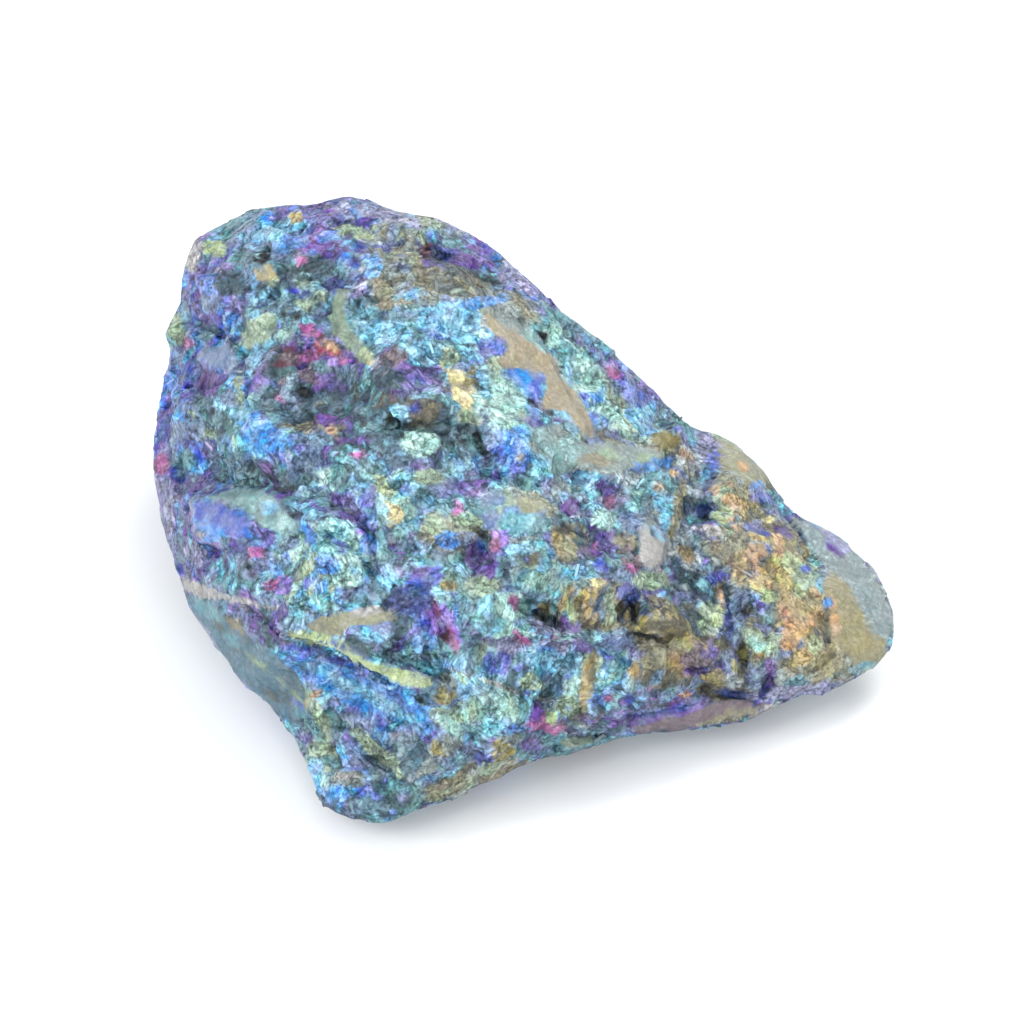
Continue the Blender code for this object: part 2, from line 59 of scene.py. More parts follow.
# The photo looks down at 45 degrees: the ways to its right, up across it and back to the camera.
# u runs right and v up across it, in mm on the stone, from a point near its middle. The stone's
# outline ends at these four on its sides.
VIEW_TILT = math.radians(45)
RIGHT = np.array((1.0, 0.0, 0.0))
UP = np.array((0.0, math.sin(VIEW_TILT), math.cos(VIEW_TILT)))
BACK = np.array((0.0, -math.cos(VIEW_TILT), math.sin(VIEW_TILT)))
OUTLINE_LEFT, OUTLINE_RIGHT = -36.9, 37.4
OUTLINE_TOP, OUTLINE_BOTTOM = 31.4, -30.7

# The photo is a square this many mm across at the stone, and its middle lies at this (u, v).
PHOTO_WIDTH = 102.4
PHOTO_MIDDLE = (-0.8, -0.2)
LENS_MM = 400.0
SENSOR_MM = 36.0

SEED = 11
MIDDLE = (0.5, 0.5, 0.5)

# The stone's own mesh: how near corners are merged, how fine it is cut, and in how many rounds it
# is softened, each of which draws a point this share of the way to the mean of its neighbours.
WELD = 0.001 * MM
FINE_VOXEL = 0.17 * MM
BASE_SOFTENING = (3, 0.5)
MOST_TRIANGLES = 190000
BOX_MARGIN = 0.001 * MM

# The sole reaches up to this height in mm and fades out over the next 1 mm. Where more than
# FLAT_SOLE of it is left, nothing rises above SOLE_LIFT mm.
SOLE_HEIGHT = 0.2
FLAT_SOLE = 0.95
SOLE_LIFT = 0.05

# The front is the side that the photo shows. These say how fast it gives way to the other sides
# as a face turns away from the photo's camera, and where zones and patches end.
FACING_GAIN, FACING_START = 3, 0.35
FRONT = 0.5
PATCH_FRONT = 0.1
# The relief is lower on faces seen edge-on, so that the outline stays. It is full from this
# cosine on, and this share of it is left at the rim. Calm faces lose this much of it.
RIM = 0.45
RIM_RELIEF = 0.35
CALM_RELIEF = 0.9

# Crystal domains, the clusters inside them and the blades inside those: size across in mm, how
# many times longer than wide, how far a neighbour steps up in mm, and how much a top slopes.
DOMAIN_SIZE = 2.9
DOMAIN_STEP = 0.20
DOMAIN_TILT = 0.20
CLUSTER_SIZE = 0.95
CLUSTER_STRETCH = 2.5
CLUSTER_STEP = 0.12
CLUSTER_TILT = 0.22
BLADE_WIDTH = 0.36
BLADE_STRETCH = 4.5
BLADE_STEP = 0.09
BLADE_TILT = 0.30
# How far a cluster's blades turn from the way of their domain.
CLUSTER_TURN = 0.5
# The way of upright fibres, and how strongly they take it.
FIBRE_WAY = (0.12, 0.70, 0.70)
FIBRE_PULL = 4.0
# Bends and jags in the edges of the crystals, in mm.
WARP_SIZE = 2.6
WARP_REACH = 1.3
JAG_SIZE = 0.4
JAG_REACH = 0.34
# How high a domain's blades stand: a random number between the first two gives a share between
# the last two.
LIVELY = (0.25, 0.75, 0.25, 1.0)

# Shapes drawn over the photo get natural edges from shakes: (size, reach, seed), in mm.
EDGE_SHAKES = ((1.7, 0.25, 1.3), (0.5, 0.14, 5.9))
ZONE_SHAKE = (1.5, 0.7, 2.2)
HIDDEN_SHAKE = (11.0, 1.0, 3.7)

# Ovals: how many times its written size each kind reaches, and over how much of that size its
# edge fades.
OVAL_REACH = 1.05
PIT_EDGE = (1.25, 0.7)
SMOOTH_EDGE = (1.15, 0.35)
FIBRE_EDGE = (1.2, 0.4)
# The width in mm over which a smooth facet begins.
FACET_FADE = 0.4
# A crack ends at this many times its half width, and its two ends begin this far into the rise.
CRACK_REACH = 1.3
CRACK_START = 0.2
# Spots further outside a shape than this, in mm, count as this far outside.
FAR = 1.0

# The share of blades that take a tint apart from their cluster's, and of those in a patch that
# keep the tint of their zone.
BLADE_PICKS = 0.04
PATCH_GAPS = 0.08
# The share of clusters that take the tint of their whole domain.
SHARED_CLUSTERS = 0.66
# Patches at least this wide, in mm, lie under the narrower ones.
LARGE_PATCH = 0.75
# Half the width in mm over which a patch gives way to what is round it.
PATCH_EDGE = 0.12
# How much of the turn of its hue a patch takes away.
PATCH_HOLD = 0.55
# Rounds and share by which zones run into each other.
ZONE_SOFTENING = (2, 0.5)

# Hollows are found against the surface smoothed by these rounds, each by this share. The second
# number of each pair is the depth in mm that counts as full.
HOLLOW_REACHES = ((14, 0.22), (40, 0.40))
HOLLOW_SHARE = 0.6

# Fine marks in the colour, sizes in mm. Fuzz moves each speck this far at random.
SPECKS_PER_MM = 1000.0
FUZZ = 0.10
COLOUR_FUZZ = 0.46
GRAIN_SIZE = 0.17
MOTTLE_SIZE = 1.7
FINE_RELIEF_SIZE = 0.5
STREAK_WIDTH = 0.30
STREAK_STRETCH = 8.0
CRACK_SIZE = 2.4
PLATE_MOTTLE_SIZE = 0.35

# How far a patch's edge moves at random, in mm, by cluster, blade and mottle. A gap moves it out
# of reach.
CLUSTER_SHIFT = 0.30
BLADE_SHIFT = 0.24
MOTTLE_SHIFT = 0.5
GAP_SHIFT = -2.0
# How far the hue turns at random, where 1 is the whole circle.
MOTTLE_TURN = 0.22
CRYSTAL_TURN = 0.03

# How dark and how light each kind of crystal comes out.
DOMAIN_SHADES = (0.88, 1.12)
CLUSTER_SHADES = (0.78, 1.22)
BLADE_SHADES = (0.78, 1.22)
GRAIN_SHADES = (0.90, 1.10)
PLATE_SHADES = (0.70, 1.12)
RIDGE_SHADES = 2.4

# Factors that rise or fall with a value: where it starts, where it ends, the factor at the start
# and the factor at the end.
MOTTLE_RICHNESS = (0.3, 0.7, 0.64, 1.05)
# Painted shade: dark lines along the seams between clusters and along fine splits, each only where a mottle
# lets it show.
SEAM_SHADE = (0.02, 0.09, 0.45, 1.0)
SEAM_PLACES = (0.45, 0.55, 0.0, 1.0)
SPLIT_SHADE = (0.004, 0.030, 0.30, 1.0)
SPLIT_PLACES = (0.42, 0.54, 0.0, 1.0)
# Painted shade: a few grains are made dark as specks, standing in for tiny pits between crystals.
SPECK_SHADE = (0.05, 0.10, 0.60, 1.0)
GLINT_SHADE = (0.94, 0.98, 1.0, 1.25)
# Painted shade: the fine relief is darker where it lies low.
FINE_RELIEF_PAINTED_SHADE = (0.36, 0.52, 0.35, 1.06)
# Painted shade in hollows, and painted light on ridges, both from how deep a point lies.
HOLLOW_PAINTED_SHADE = (0.1, 0.9, 1.0, 0.70)
RIDGE_SHADE = (-0.7, 0.0, 1.06, 1.0)
PLATE_MOTTLE_SHADE = (0.35, 0.6, 0.7, 1.15)
FILM_BLUENESS = (-0.2, 0.5, 0.0, 1.0)

# What calm faces lose of their marks and of their light, and what the whole stone keeps of its.
CALM_QUIET = 0.6
CALM_DARKENING = 0.12
WHOLE_SHADE = 0.92

# How metallic bare stone and bright film are. How rough: from one blade to another, and what
# bright film adds to it.
STONE_METAL = (0.06, 0.50)
PLATE_METAL = (0.1, 0.45)
STONE_ROUGHNESS = (0.46, 0.70)
FILM_ROUGHNESS = -0.16
PLATE_ROUGHNESS = 0.48

# How far clusters, blades and fine ripples lean in the shading.
CLUSTER_LEAN = 0.4
BLADE_LEAN = 0.65
RIPPLE_SIZE = 0.35
RIPPLE_LEAN = 1.2
FINE_RELIEF_BUMP = 0.16
BUMP_STRENGTH = 0.8

# The laths that lie in the surface: how many on a square mm, and their sizes in mm.
PLATES = {
    "Density": 0.14, "Length": 0.9, "Width": 0.2, "Thickness": 0.09, "Lean": 0.12, "Sunk": 0.02, "Seed": SEED,
}
PER_SQUARE_METRE = 1e6
PLATE_RICHNESS = 0.75
# How far a lath strays from the way of its blades, and how much smaller or larger it comes out.
PLATE_DRIFT = 0.25
PLATE_SIZES = (0.4, 1.5)
# A lath's second random number is the fraction of its first, multiplied by this.
SECOND_DRAW = 17.0
# Laths keep off faces calmer, hollows deeper and rims nearer than these.
PLATE_CALM, PLATE_DEPTH, PLATE_RIM = 0.9, 0.7, 0.4

# The room round the stone.
FLOOR_SIZE = 6.0
FLOOR_COLOUR = (0.86, 0.86, 0.86, 1)
FLOOR_ROUGHNESS, FLOOR_SPECULAR = 0.9, 0.1
DAYLIGHT = (0.96, 0.98, 1.0, 1)
# Lamps: name, place and size in metres, and power in watts.
LAMPS = (
    ("key_light", (0.22, 0.30, 0.50), 0.30, 2.2),
    ("side_light", (-0.45, -0.20, 0.40), 0.35, 2.0),
    ("front_light", (0.10, -0.55, 0.35), 0.30, 1.2),
)
FAR_CLIP = 10.0

# Display colours of the film and of bare stone.
TINTS = {
    "violet": (0.43, 0.36, 0.70),
    "lilac": (0.56, 0.57, 0.72),
    "indigo": (0.28, 0.38, 0.76),
    "azure": (0.26, 0.58, 0.90),
    "cyan": (0.45, 0.76, 0.90),
    "mint": (0.66, 0.86, 0.82),
    "sage": (0.60, 0.70, 0.58),
    "lime": (0.67, 0.75, 0.53),
    "gold": (0.70, 0.62, 0.38),
    "orange": (0.78, 0.62, 0.42),
    "rose": (0.68, 0.34, 0.60),
    "crimson": (0.66, 0.20, 0.34),
    "navy": (0.09, 0.25, 0.64),
    "plum": (0.38, 0.22, 0.60),
    "wine": (0.36, 0.13, 0.22),
    "slate": (0.26, 0.37, 0.42),
    "teal": (0.40, 0.62, 0.67),
    "steel": (0.43, 0.53, 0.68),
    "grey": (0.57, 0.63, 0.62),
    "tan": (0.57, 0.55, 0.45),
    "buff": (0.66, 0.61, 0.50),
    "khaki": (0.60, 0.60, 0.49),
    "straw": (0.68, 0.64, 0.48),
    "moss": (0.52, 0.61, 0.52),
    "pool": (0.53, 0.70, 0.70),
    "frost": (0.68, 0.75, 0.78),
    "mist": (0.55, 0.62, 0.63),
    "bronze": (0.60, 0.57, 0.41),
    "shade": (0.40, 0.45, 0.45),
    "deep": (0.36, 0.51, 0.58),
    "mauve": (0.48, 0.42, 0.45),
    "orchid": (0.58, 0.42, 0.86),
    "glare": (0.56, 0.82, 0.85),
    "olive": (0.56, 0.55, 0.42),
    "umber": (0.37, 0.35, 0.27),
    "ochre": (0.57, 0.53, 0.29),
    "cream": (0.88, 0.83, 0.60),
    "chalk": (0.68, 0.67, 0.66),
    # Painted shadow: the near-black laid in small holes, pits and cracks.
    "black": (0.08, 0.09, 0.10),
}
# The dark colour that darkened crystals go towards: both their random tone and the painted shade in hollows,
# gaps, cracks and pits.
DARK_TONE_AND_SHADE_COLOUR = (0.1, 0.13, 0.15)

# The five tints that a zone's crystals take, and how often each is taken.
TINT_SHARES = (0.32, 0.24, 0.19, 0.15, 0.10)
MIXES = {
    "cool": ("teal", "cyan", "azure", "mint", "slate"),
    "violet": ("violet", "azure", "steel", "navy", "lilac"),
    "dusk": ("violet", "slate", "steel", "plum", "mauve"),
    "blue": ("azure", "azure", "cyan", "steel", "indigo"),
    "murk": ("slate", "teal", "deep", "sage", "cyan"),
    "haze": ("steel", "cyan", "lilac", "teal", "mist"),
    "foot": ("teal", "steel", "azure", "slate", "indigo"),
    "pale": ("mint", "teal", "cyan", "sage", "azure"),
    "dark": ("slate", "deep", "teal", "umber", "plum"),
    "earth": ("umber", "olive", "ochre", "steel", "slate"),
    "golden": ("olive", "bronze", "gold", "steel", "orange"),
    "steel": ("steel", "grey", "teal", "slate", "violet"),
    "grey": ("grey", "khaki", "sage", "steel", "tan"),
    "olive": ("olive", "khaki", "tan", "grey", "sage"),
    "mixed": ("teal", "steel", "cyan", "violet", "slate"),
}

# Where no zone is laid, and the mixes on the sides that the photo doesn't show: the axis of the
# noise, the level above which it counts, and the mix.
BACKGROUND_MIX = "mixed"
HIDDEN_MIXES = (
    (0, 0.12, "cool"), (0, 0.34, "pale"), (1, 0.16, "violet"), (1, 0.38, "blue"), (2, 0.24, "dark"),
)

# All ovals are (u, v, half length, half width), and a turn in degrees where they have one.
# Zones in the order they are laid on.
ZONES = (
    ("violet", ((-34, 4, 13, 4.6, 86), (-31, 12, 4.4, 7), (-31, 22, 4, 3), (-20, 28.5, 6, 3), (-17, 24, 3, 3),
        (-10, 13, 2.2, 3.6, -20), (-2, 25.8, 7, 2, -42), (-29.5, -2, 5, 3, -18))),
    ("foot", ((-27, -14.6, 8, 3.4, -42), (-16, -27.4, 7, 4), (-12, -24, 5, 3, -30))),
    ("cool", ((-25, 18, 4, 3, 20), (1, -17.5, 7, 4.5, -8), (14, 1.5, 4, 3, 20), (-9, 18.2, 6.2, 3.4, -6),
        (-27, 8, 5, 3, -30), (6, -14.6, 5, 2.6, -10), (-11.4, 2.8, 1.6, 1.2), (-18, 3, 3, 1.4),
        (-1, -10, 4, 2.6, -10), (-6, -8.4, 3, 1.8))),
    ("haze", ((6.4, 1.6, 4, 2.6), (17, 4.6, 2, 2), (15, -0.4, 3, 1.6))),
    ("murk", ((-21.6, 22.4, 4.4, 2.6, 10), (-30, 9.6, 3, 2.6))),
    ("blue", ((-14.4, -18.2, 8, 2.7, -31), (-25, 7.4, 3, 2, -40), (-0.8, 6, 2.2, 2.4),
        (-20.5, -15.2, 4, 1.4, -24), (-10.5, -21.2, 2.6, 2), (-7.4, 19, 2.6, 2))),
    ("pale", ((5.4, 13.4, 7.6, 2.3, -52), (-1.6, 11.6, 2.2, 3.8, 12), (10.8, 8.6, 4, 2, -34),
        (-12.2, 0.6, 2, 1.6, 10), (-19, -4.6, 5, 3, -20), (-4, -18.6, 4, 2.4, -20), (3.4, -6.4, 4, 1.4, -5),
        (-20.6, -8.6, 3, 1.4, -10), (-19.6, -25, 1.6, 2.6, 20), (-6.8, -7, 2, 1), (9, -16.6, 2.4, 2))),
    ("grey", ((-6, 21.8, 6.4, 2, -32), (-12.4, 25.6, 3.2, 4, -20), (-1, 19.4, 2.6, 2.4, -40),
        (8.4, 5.8, 7, 1.8, -6), (-0.8, -0.4, 4.4, 2.4, -4), (-8.6, 29, 3, 1, -20), (-7, -2.6, 3, 1.4))),
    ("dark", ((-18.5, 10.4, 6.6, 3, 4), (-9.2, 7.8, 5.6, 1.8), (-28, 4, 2.6, 1.6, -6),
        (-24.6, 3.4, 4, 1.2, -6), (-13, -3.4, 2, 1.6), (1, -4.4, 1.6, 1.2), (-8, 10.8, 2, 1.4),
        (-12, 12, 2.2, 1.8), (18.6, -7, 3, 1.6, -50))),
    ("dusk", ((-20.6, 14.6, 5, 2.6, -6), (-12.6, 14, 1.8, 2.4), (-25.4, -11, 4, 2.4, -24),
        (-11.4, 12.6, 2, 1.4), (-11.4, -24, 2, 2), (13, -20.6, 12, 1.3, 6), (7.4, -2.6, 2.4, 1.6),
        (17, -14.4, 3, 2))),
    ("earth", ((8.6, -9.6, 3.4, 2.4), (16, -12.2, 5, 3, -8), (15, -15.8, 4, 1.8), (22.6, -14, 2.4, 4.6, 6),
        (4.6, -3, 1.8, 1.8), (20, -17.6, 3, 1.4, -10))),
    ("steel", ((19, -4.8, 3.6, 2.8, -10), (20, -9, 2.4, 4, 14), (26, -16.6, 3.4, 2), (5.4, -22.6, 5, 1.2, 12),
        (16, -6.4, 2.6, 2), (-10, -24.6, 2.8, 2), (32, -5, 6, 1.8, -40))),
    ("golden", ((24.4, -4.6, 4.4, 3.6, -20), (28, -11, 2.8, 3.6, -10), (22, 1.4, 3, 1.8, -40),
        (29, -15, 3, 1.6, 10))),
    ("olive", ((33.6, -11, 3.2, 5.6, 12), (22, 4.8, 4, 2.2, -46), (31, -15.6, 3.4, 1.8, 10),
        (14, 5.4, 3.4, 1, 2), (20.5, -3, 3, 1.4, 10), (-5, -26.6, 5, 1.2, 22), (-13.6, 23.4, 1.6, 2.6))),
)

# Single crystals and broken faces with a shape of their own: tint, how smooth, and outline.
FACETS = (
    # the bright plane right of the middle
    ("buff", 1.0, ((-3.6, 19.9), (-2.6, 19.2), (-0.6, 17.8), (1.4, 16.4), (3.4, 15.2), (4.2, 13.2),
        (5.6, 11.4), (6.6, 9.8), (7.2, 8.2), (7.3, 7.0), (6.2, 7.8), (5.0, 9.2), (4.6, 10.0), (2.0, 9.9),
        (2.3, 11.2), (2.6, 13.0), (0.6, 13.9), (-1.2, 13.9), (-2.4, 14.6), (-1.0, 16.3), (-2.6, 17.4),
        (-3.5, 18.6))),
    ("azure", 0.8, ((-1.2, 13.8), (0.4, 14.0), (2.4, 13.3), (2.0, 12.6), (2.2, 11.3), (1.6, 10.7),
        (0.6, 11.4), (-0.6, 12.8))),
    ("indigo", 0.6, ((1.0, 13.6), (2.4, 13.3), (2.0, 12.6), (2.2, 11.3), (1.6, 10.7), (0.9, 11.6))),
    ("indigo", 0.3, ((-3.8, 17.2), (-2.8, 17.3), (-1.6, 16.3), (-1.7, 15.4), (-3.2, 15.1), (-4.0, 14.4),
        (-5.0, 14.6), (-4.4, 15.8))),
    ("cyan", 0.2, ((-8.0, 20.5), (-4.2, 20.8), (-3.8, 18.8), (-4.6, 16.6), (-6.4, 16.4), (-8.0, 17.4))),
    ("cream", 0.5, ((-7.9, 15.2), (-7.2, 14.0), (-6.2, 13.9), (-5.2, 13.6), (-4.8, 12.4), (-4.0, 11.8),
        (-3.5, 11.0), (-4.0, 10.2), (-4.6, 10.2), (-3.8, 8.6), (-4.4, 8.8), (-5.8, 10.2), (-6.6, 11.2),
        (-6.8, 12.4), (-7.6, 14.0))),
    # Painted shade: the brown shadow on the cream blade.
    ("umber", 0.0, ((-5.1, 13.6), (-4.0, 13.4), (-3.4, 11.6), (-4.2, 11.9), (-4.9, 12.5))),
    ("mint", 0.3, ((-2.8, 14.2), (-1.8, 13.6), (-0.8, 12.4), (0.2, 11.2), (0.2, 10.0), (-0.8, 8.8),
        (-2.4, 8.9), (-3.0, 10.4), (-2.8, 12.2))),
    ("azure", 0.0, ((-2.3, 7.4), (-0.4, 8.2), (0.6, 7.4), (1.2, 5.6), (0.2, 3.8), (-1.6, 4.4), (-2.4, 5.6))),
    ("pool", 0.4, ((0.8, 8.0), (3.6, 8.2), (5.8, 7.4), (6.0, 5.4), (5.0, 3.8), (3.0, 3.4), (1.6, 5.6))),
    ("grey", 0.6, ((6.2, 6.4), (9.0, 6.9), (11.6, 6.3), (14.6, 5.7), (11.2, 4.5), (10.8, 3.7), (8.0, 3.3),
        (5.8, 4.4))),
    ("azure", 0.5, ((11.2, 4.2), (13.6, 5.0), (15.4, 5.6), (15.8, 5.0), (14.2, 4.0), (12.4, 3.8))),
    # the right end
    ("khaki", 0.9, ((19.8, 7.2), (21.0, 6.8), (22.8, 5.4), (24.8, 3.0), (23.4, 3.2), (21.0, 4.2),
        (20.2, 5.6))),
    ("chalk", 0.8, ((11.8, -1.9), (13.0, -2.6), (14.6, -3.2), (14.8, -4.4), (14.0, -5.4), (14.0, -6.4),
        (12.6, -5.6), (11.6, -5.0), (11.8, -3.6))),
    ("mauve", 0.2, ((9.4, -2.8), (10.6, -2.2), (11.6, -3.0), (11.4, -4.8), (9.8, -4.6))),
    ("umber", 0.3, ((11.4, -11.6), (12.2, -10.6), (13.4, -11.0), (15.6, -10.8), (17.0, -11.8), (15.4, -12.4),
        (12.6, -12.2))),
    ("bronze", 0.9, ((30.8, -6.2), (32.4, -7.4), (33.6, -9.4), (35.0, -12.4), (36.5, -13.6), (35.6, -15.0),
        (33.2, -14.6), (31.4, -13.4), (30.4, -12.0), (30.8, -9.6), (30.2, -7.8))),
    ("mist", 1.0, ((27.2, -0.4), (29.2, -1.6), (31.6, -2.6), (34.2, -5.0), (36.4, -8.4), (37.6, -11.4),
        (36.8, -13.0), (35.2, -12.2), (33.8, -9.4), (32.6, -7.2), (30.6, -5.6), (28.6, -2.8))),
    ("lilac", 0.7, ((30.0, -1.8), (32.0, -2.6), (33.4, -4.0), (32.4, -4.6), (30.8, -3.2))),
    ("orange", 0.3, ((22.2, -4.4), (23.0, -3.2), (24.4, -3.4), (24.6, -4.6), (23.4, -5.4))),
    ("gold", 0.2, ((22.6, -2.4), (24.2, -2.2), (25.0, -3.2), (23.6, -3.4))),
    ("orange", 0.3, ((25.2, -2.6), (26.2, -3.4), (26.0, -4.9), (25.2, -4.4))),
    ("orange", 0.4, ((25.8, -12.0), (27.2, -11.2), (29.6, -10.2), (29.8, -11.4), (28.0, -12.4), (27.4, -13.8),
        (26.2, -13.8))),
    ("gold", 0.4, ((26.4, -9.4), (28.4, -9.0), (30.0, -9.8), (27.6, -10.9), (26.6, -10.4))),
    ("bronze", 0.4, ((29.4, -13.6), (31.2, -13.4), (32.2, -15.4), (30.8, -16.8), (29.2, -15.6))),
    ("lime", 0.3, ((26.0, -5.2), (27.4, -4.4), (28.2, -5.4), (27.0, -6.8))),
    ("lime", 0.2, ((18.8, -0.6), (20.4, 0.4), (21.3, -0.4), (20.2, -1.6))),
    ("sage", 0.1, ((19.0, -9.2), (20.2, -9.6), (20.0, -12.0), (18.6, -11.8), (18.4, -10.4))),
    ("mint", 0.2, ((22.2, -12.2), (23.6, -12.6), (24.6, -14.2), (23.4, -14.0))),
    ("mauve", 0.2, ((17.2, -12.8), (19.2, -13.0), (18.8, -14.2), (17.2, -14.0))),
    ("lilac", 0.2, ((17.0, -1.4), (19.4, -2.4), (20.0, -3.2), (17.8, -2.8))),
    ("mauve", 0.9, ((11.0, -21.0), (16.0, -20.6), (20.4, -18.8), (23.4, -18.6), (24.4, -19.4), (20.6, -20.8),
        (16.0, -22.0), (11.0, -22.0))),
    # the left swelling, the ledge and the lower left
    ("indigo", 0.9, ((-32.2, 0.8), (-30.6, 1.0), (-28.2, 0.0), (-26.6, -0.8), (-26.6, -2.6), (-28.6, -2.8),
        (-30.8, -1.2), (-32.4, -0.9))),
    ("azure", 0.4, ((-32.0, -1.4), (-30.2, -1.6), (-28.6, -2.6), (-30.0, -3.1), (-31.8, -3.2))),
    ("pool", 0.9, ((-31.6, 1.2), (-29.0, 2.1), (-26.0, 2.3), (-24.0, 1.2), (-22.8, -0.8), (-21.8, -1.0),
        (-22.0, -2.4), (-23.6, -2.2), (-25.6, -1.5), (-27.0, -0.3), (-29.0, 0.8))),
    ("glare", 0.2, ((-20.4, -2.4), (-19.6, -0.9), (-17.6, -0.9), (-15.8, -2.4), (-16.0, -4.0), (-17.4, -4.6),
        (-19.6, -4.2))),
    ("azure", 0.3, ((-21.4, -1.6), (-20.2, -1.6), (-20.0, -3.6), (-21.4, -3.2))),
    ("rose", 0.1, ((-26.8, -3.7), (-25.2, -3.7), (-25.4, -4.8), (-26.8, -4.6))),
    ("orchid", 0.2, ((-24.0, -6.2), (-22.6, -6.8), (-22.8, -8.4), (-24.2, -8.2))),
    ("deep", 1.0, ((-33.4, -8.4), (-30.6, -9.0), (-28.4, -12.0), (-25.0, -13.4), (-22.4, -15.6),
        (-20.4, -19.4), (-22.4, -21.5), (-26.4, -18.4), (-29.8, -14.6), (-32.8, -10.6))),
    ("chalk", 0.8, ((-34.0, -7.0), (-32.0, -7.4), (-28.6, -8.4), (-24.4, -9.5), (-28.0, -9.1), (-31.0, -8.9),
        (-33.8, -8.0))),
    ("khaki", 0.8, ((-21.4, -11.4), (-19.0, -10.4), (-16.4, -9.9), (-14.8, -9.6), (-13.0, -9.9),
        (-12.0, -10.6), (-14.0, -11.2), (-16.4, -11.4), (-18.0, -12.2), (-20.0, -12.4))),
    ("chalk", 0.6, ((-15.8, -9.9), (-14.2, -9.5), (-13.4, -10.1), (-15.2, -10.5))),
    ("lime", 0.8, ((-22.8, -12.0), (-20.0, -12.6), (-18.0, -13.2), (-16.0, -14.2), (-14.0, -15.0),
        (-11.0, -15.6), (-8.8, -16.4), (-8.4, -17.2), (-10.0, -17.4), (-12.0, -16.9), (-14.4, -15.9),
        (-17.0, -14.2), (-19.4, -13.3), (-22.4, -12.8))),
    ("lime", 0.6, ((-20.0, -12.7), (-18.0, -13.3), (-16.2, -14.2), (-17.4, -14.1), (-19.4, -13.2))),
    ("navy", 0.1, ((-22.0, -13.2), (-20.0, -13.5), (-17.6, -14.4), (-15.4, -15.6), (-13.4, -16.5),
        (-16.0, -16.0), (-18.4, -15.2), (-21.0, -14.2))),
    ("orchid", 0.2, ((-20.2, -14.0), (-18.6, -14.3), (-17.2, -15.2), (-19.0, -14.9))),
    ("azure", 0.2, ((-23.2, -15.0), (-20.4, -14.9), (-17.6, -15.6), (-14.6, -16.6), (-12.0, -17.2),
        (-10.0, -18.6), (-8.6, -20.2), (-7.8, -21.8), (-9.6, -21.9), (-12.0, -20.8), (-14.0, -20.2),
        (-17.0, -19.2), (-20.0, -17.4), (-22.4, -16.0))),
    ("mint", 0.3, ((-9.2, -20.0), (-7.2, -20.2), (-5.6, -21.6), (-5.8, -22.6), (-7.6, -21.6))),
    # the upper left
    ("lime", 0.4, ((-32.0, 27.2), (-30.4, 27.2), (-29.2, 26.4), (-30.2, 25.6), (-31.8, 25.8))),
    ("straw", 0.9, ((-26.9, 24.0), (-25.9, 24.8), (-24.7, 24.4), (-24.2, 23.4), (-25.2, 22.6),
        (-26.5, 22.8))),
    ("sage", 0.4, ((-28.0, 16.6), (-27.4, 18.4), (-26.0, 19.5), (-24.4, 19.8), (-24.0, 18.6), (-25.0, 17.2),
        (-27.0, 16.0))),
    ("teal", 0.2, ((-26.4, 19.8), (-24.0, 21.0), (-22.0, 22.2), (-20.6, 22.6), (-21.6, 21.4), (-24.0, 20.4))),
    ("steel", 0.9, ((-31.8, 16.6), (-29.0, 16.4), (-28.0, 15.0), (-28.6, 13.6), (-31.0, 14.4),
        (-31.8, 15.6))),
    ("moss", 0.6, ((-18.2, 22.2), (-17.0, 21.8), (-17.4, 20.0), (-17.0, 18.0), (-16.0, 17.2), (-14.8, 15.8),
        (-14.4, 14.4), (-16.0, 14.6), (-17.2, 16.4), (-18.6, 17.6), (-18.8, 20.0))),
    ("cream", 0.4, ((-14.8, 15.2), (-13.8, 14.6), (-14.4, 14.1), (-15.2, 14.6))),
    ("crimson", 0.1, ((-20.6, 16.2), (-20.0, 17.2), (-18.6, 16.8), (-17.6, 15.6), (-18.4, 15.2),
        (-20.0, 15.4))),
    ("rose", 0.1, ((-21.8, 15.9), (-20.6, 16.0), (-19.8, 15.1), (-20.6, 14.6), (-21.6, 14.8))),
    ("orchid", 0.2, ((-18.9, 15.2), (-17.2, 14.9), (-18.2, 14.1), (-19.4, 14.4))),
    ("azure", 0.2, ((-28.0, 9.4), (-25.6, 9.0), (-23.2, 7.8), (-23.0, 6.0), (-26.0, 5.6), (-27.4, 7.0))),
    ("sage", 0.3, ((-28.4, 13.4), (-27.6, 12.4), (-27.6, 10.8), (-28.4, 11.4))),
    ("lime", 0.4, ((-16.8, 28.2), (-15.0, 27.8), (-14.6, 27.2), (-16.4, 27.0))),
    # the middle and the lower middle
    ("cream", 0.2, ((-13.4, 0.9), (-11.4, 1.0), (-10.8, -0.6), (-12.6, -1.6))),
    ("sage", 0.4, ((-8.9, -0.3), (-7.2, -0.7), (-7.4, -1.9), (-9.0, -1.6))),
    ("navy", 0.1, ((-13.4, -9.2), (-12.2, -7.8), (-9.6, -7.4), (-8.2, -8.2), (-8.6, -9.6), (-11.0, -10.4),
        (-12.0, -10.0))),
    ("violet", 0.2, ((-11.2, -7.0), (-10.6, -5.6), (-8.8, -5.4), (-8.2, -7.2), (-9.6, -7.6))),
    ("orchid", 0.2, ((-9.0, -9.6), (-7.6, -9.0), (-6.6, -10.2), (-6.2, -11.6), (-5.6, -13.2), (-6.6, -13.8),
        (-7.4, -12.4), (-8.8, -11.6))),
    ("plum", 0.1, ((-4.9, -4.8), (-4.4, -3.0), (-3.4, -4.0), (-2.2, -5.0), (-2.4, -6.6), (-3.8, -6.6),
        (-4.6, -5.8))),
    ("orchid", 0.1, ((-2.6, -2.0), (-1.0, -1.8), (-1.4, -3.6), (-2.8, -4.0))),
    ("indigo", 0.1, ((7.4, -5.0), (8.2, -4.4), (8.8, -5.0), (8.2, -6.2), (7.4, -5.8))),
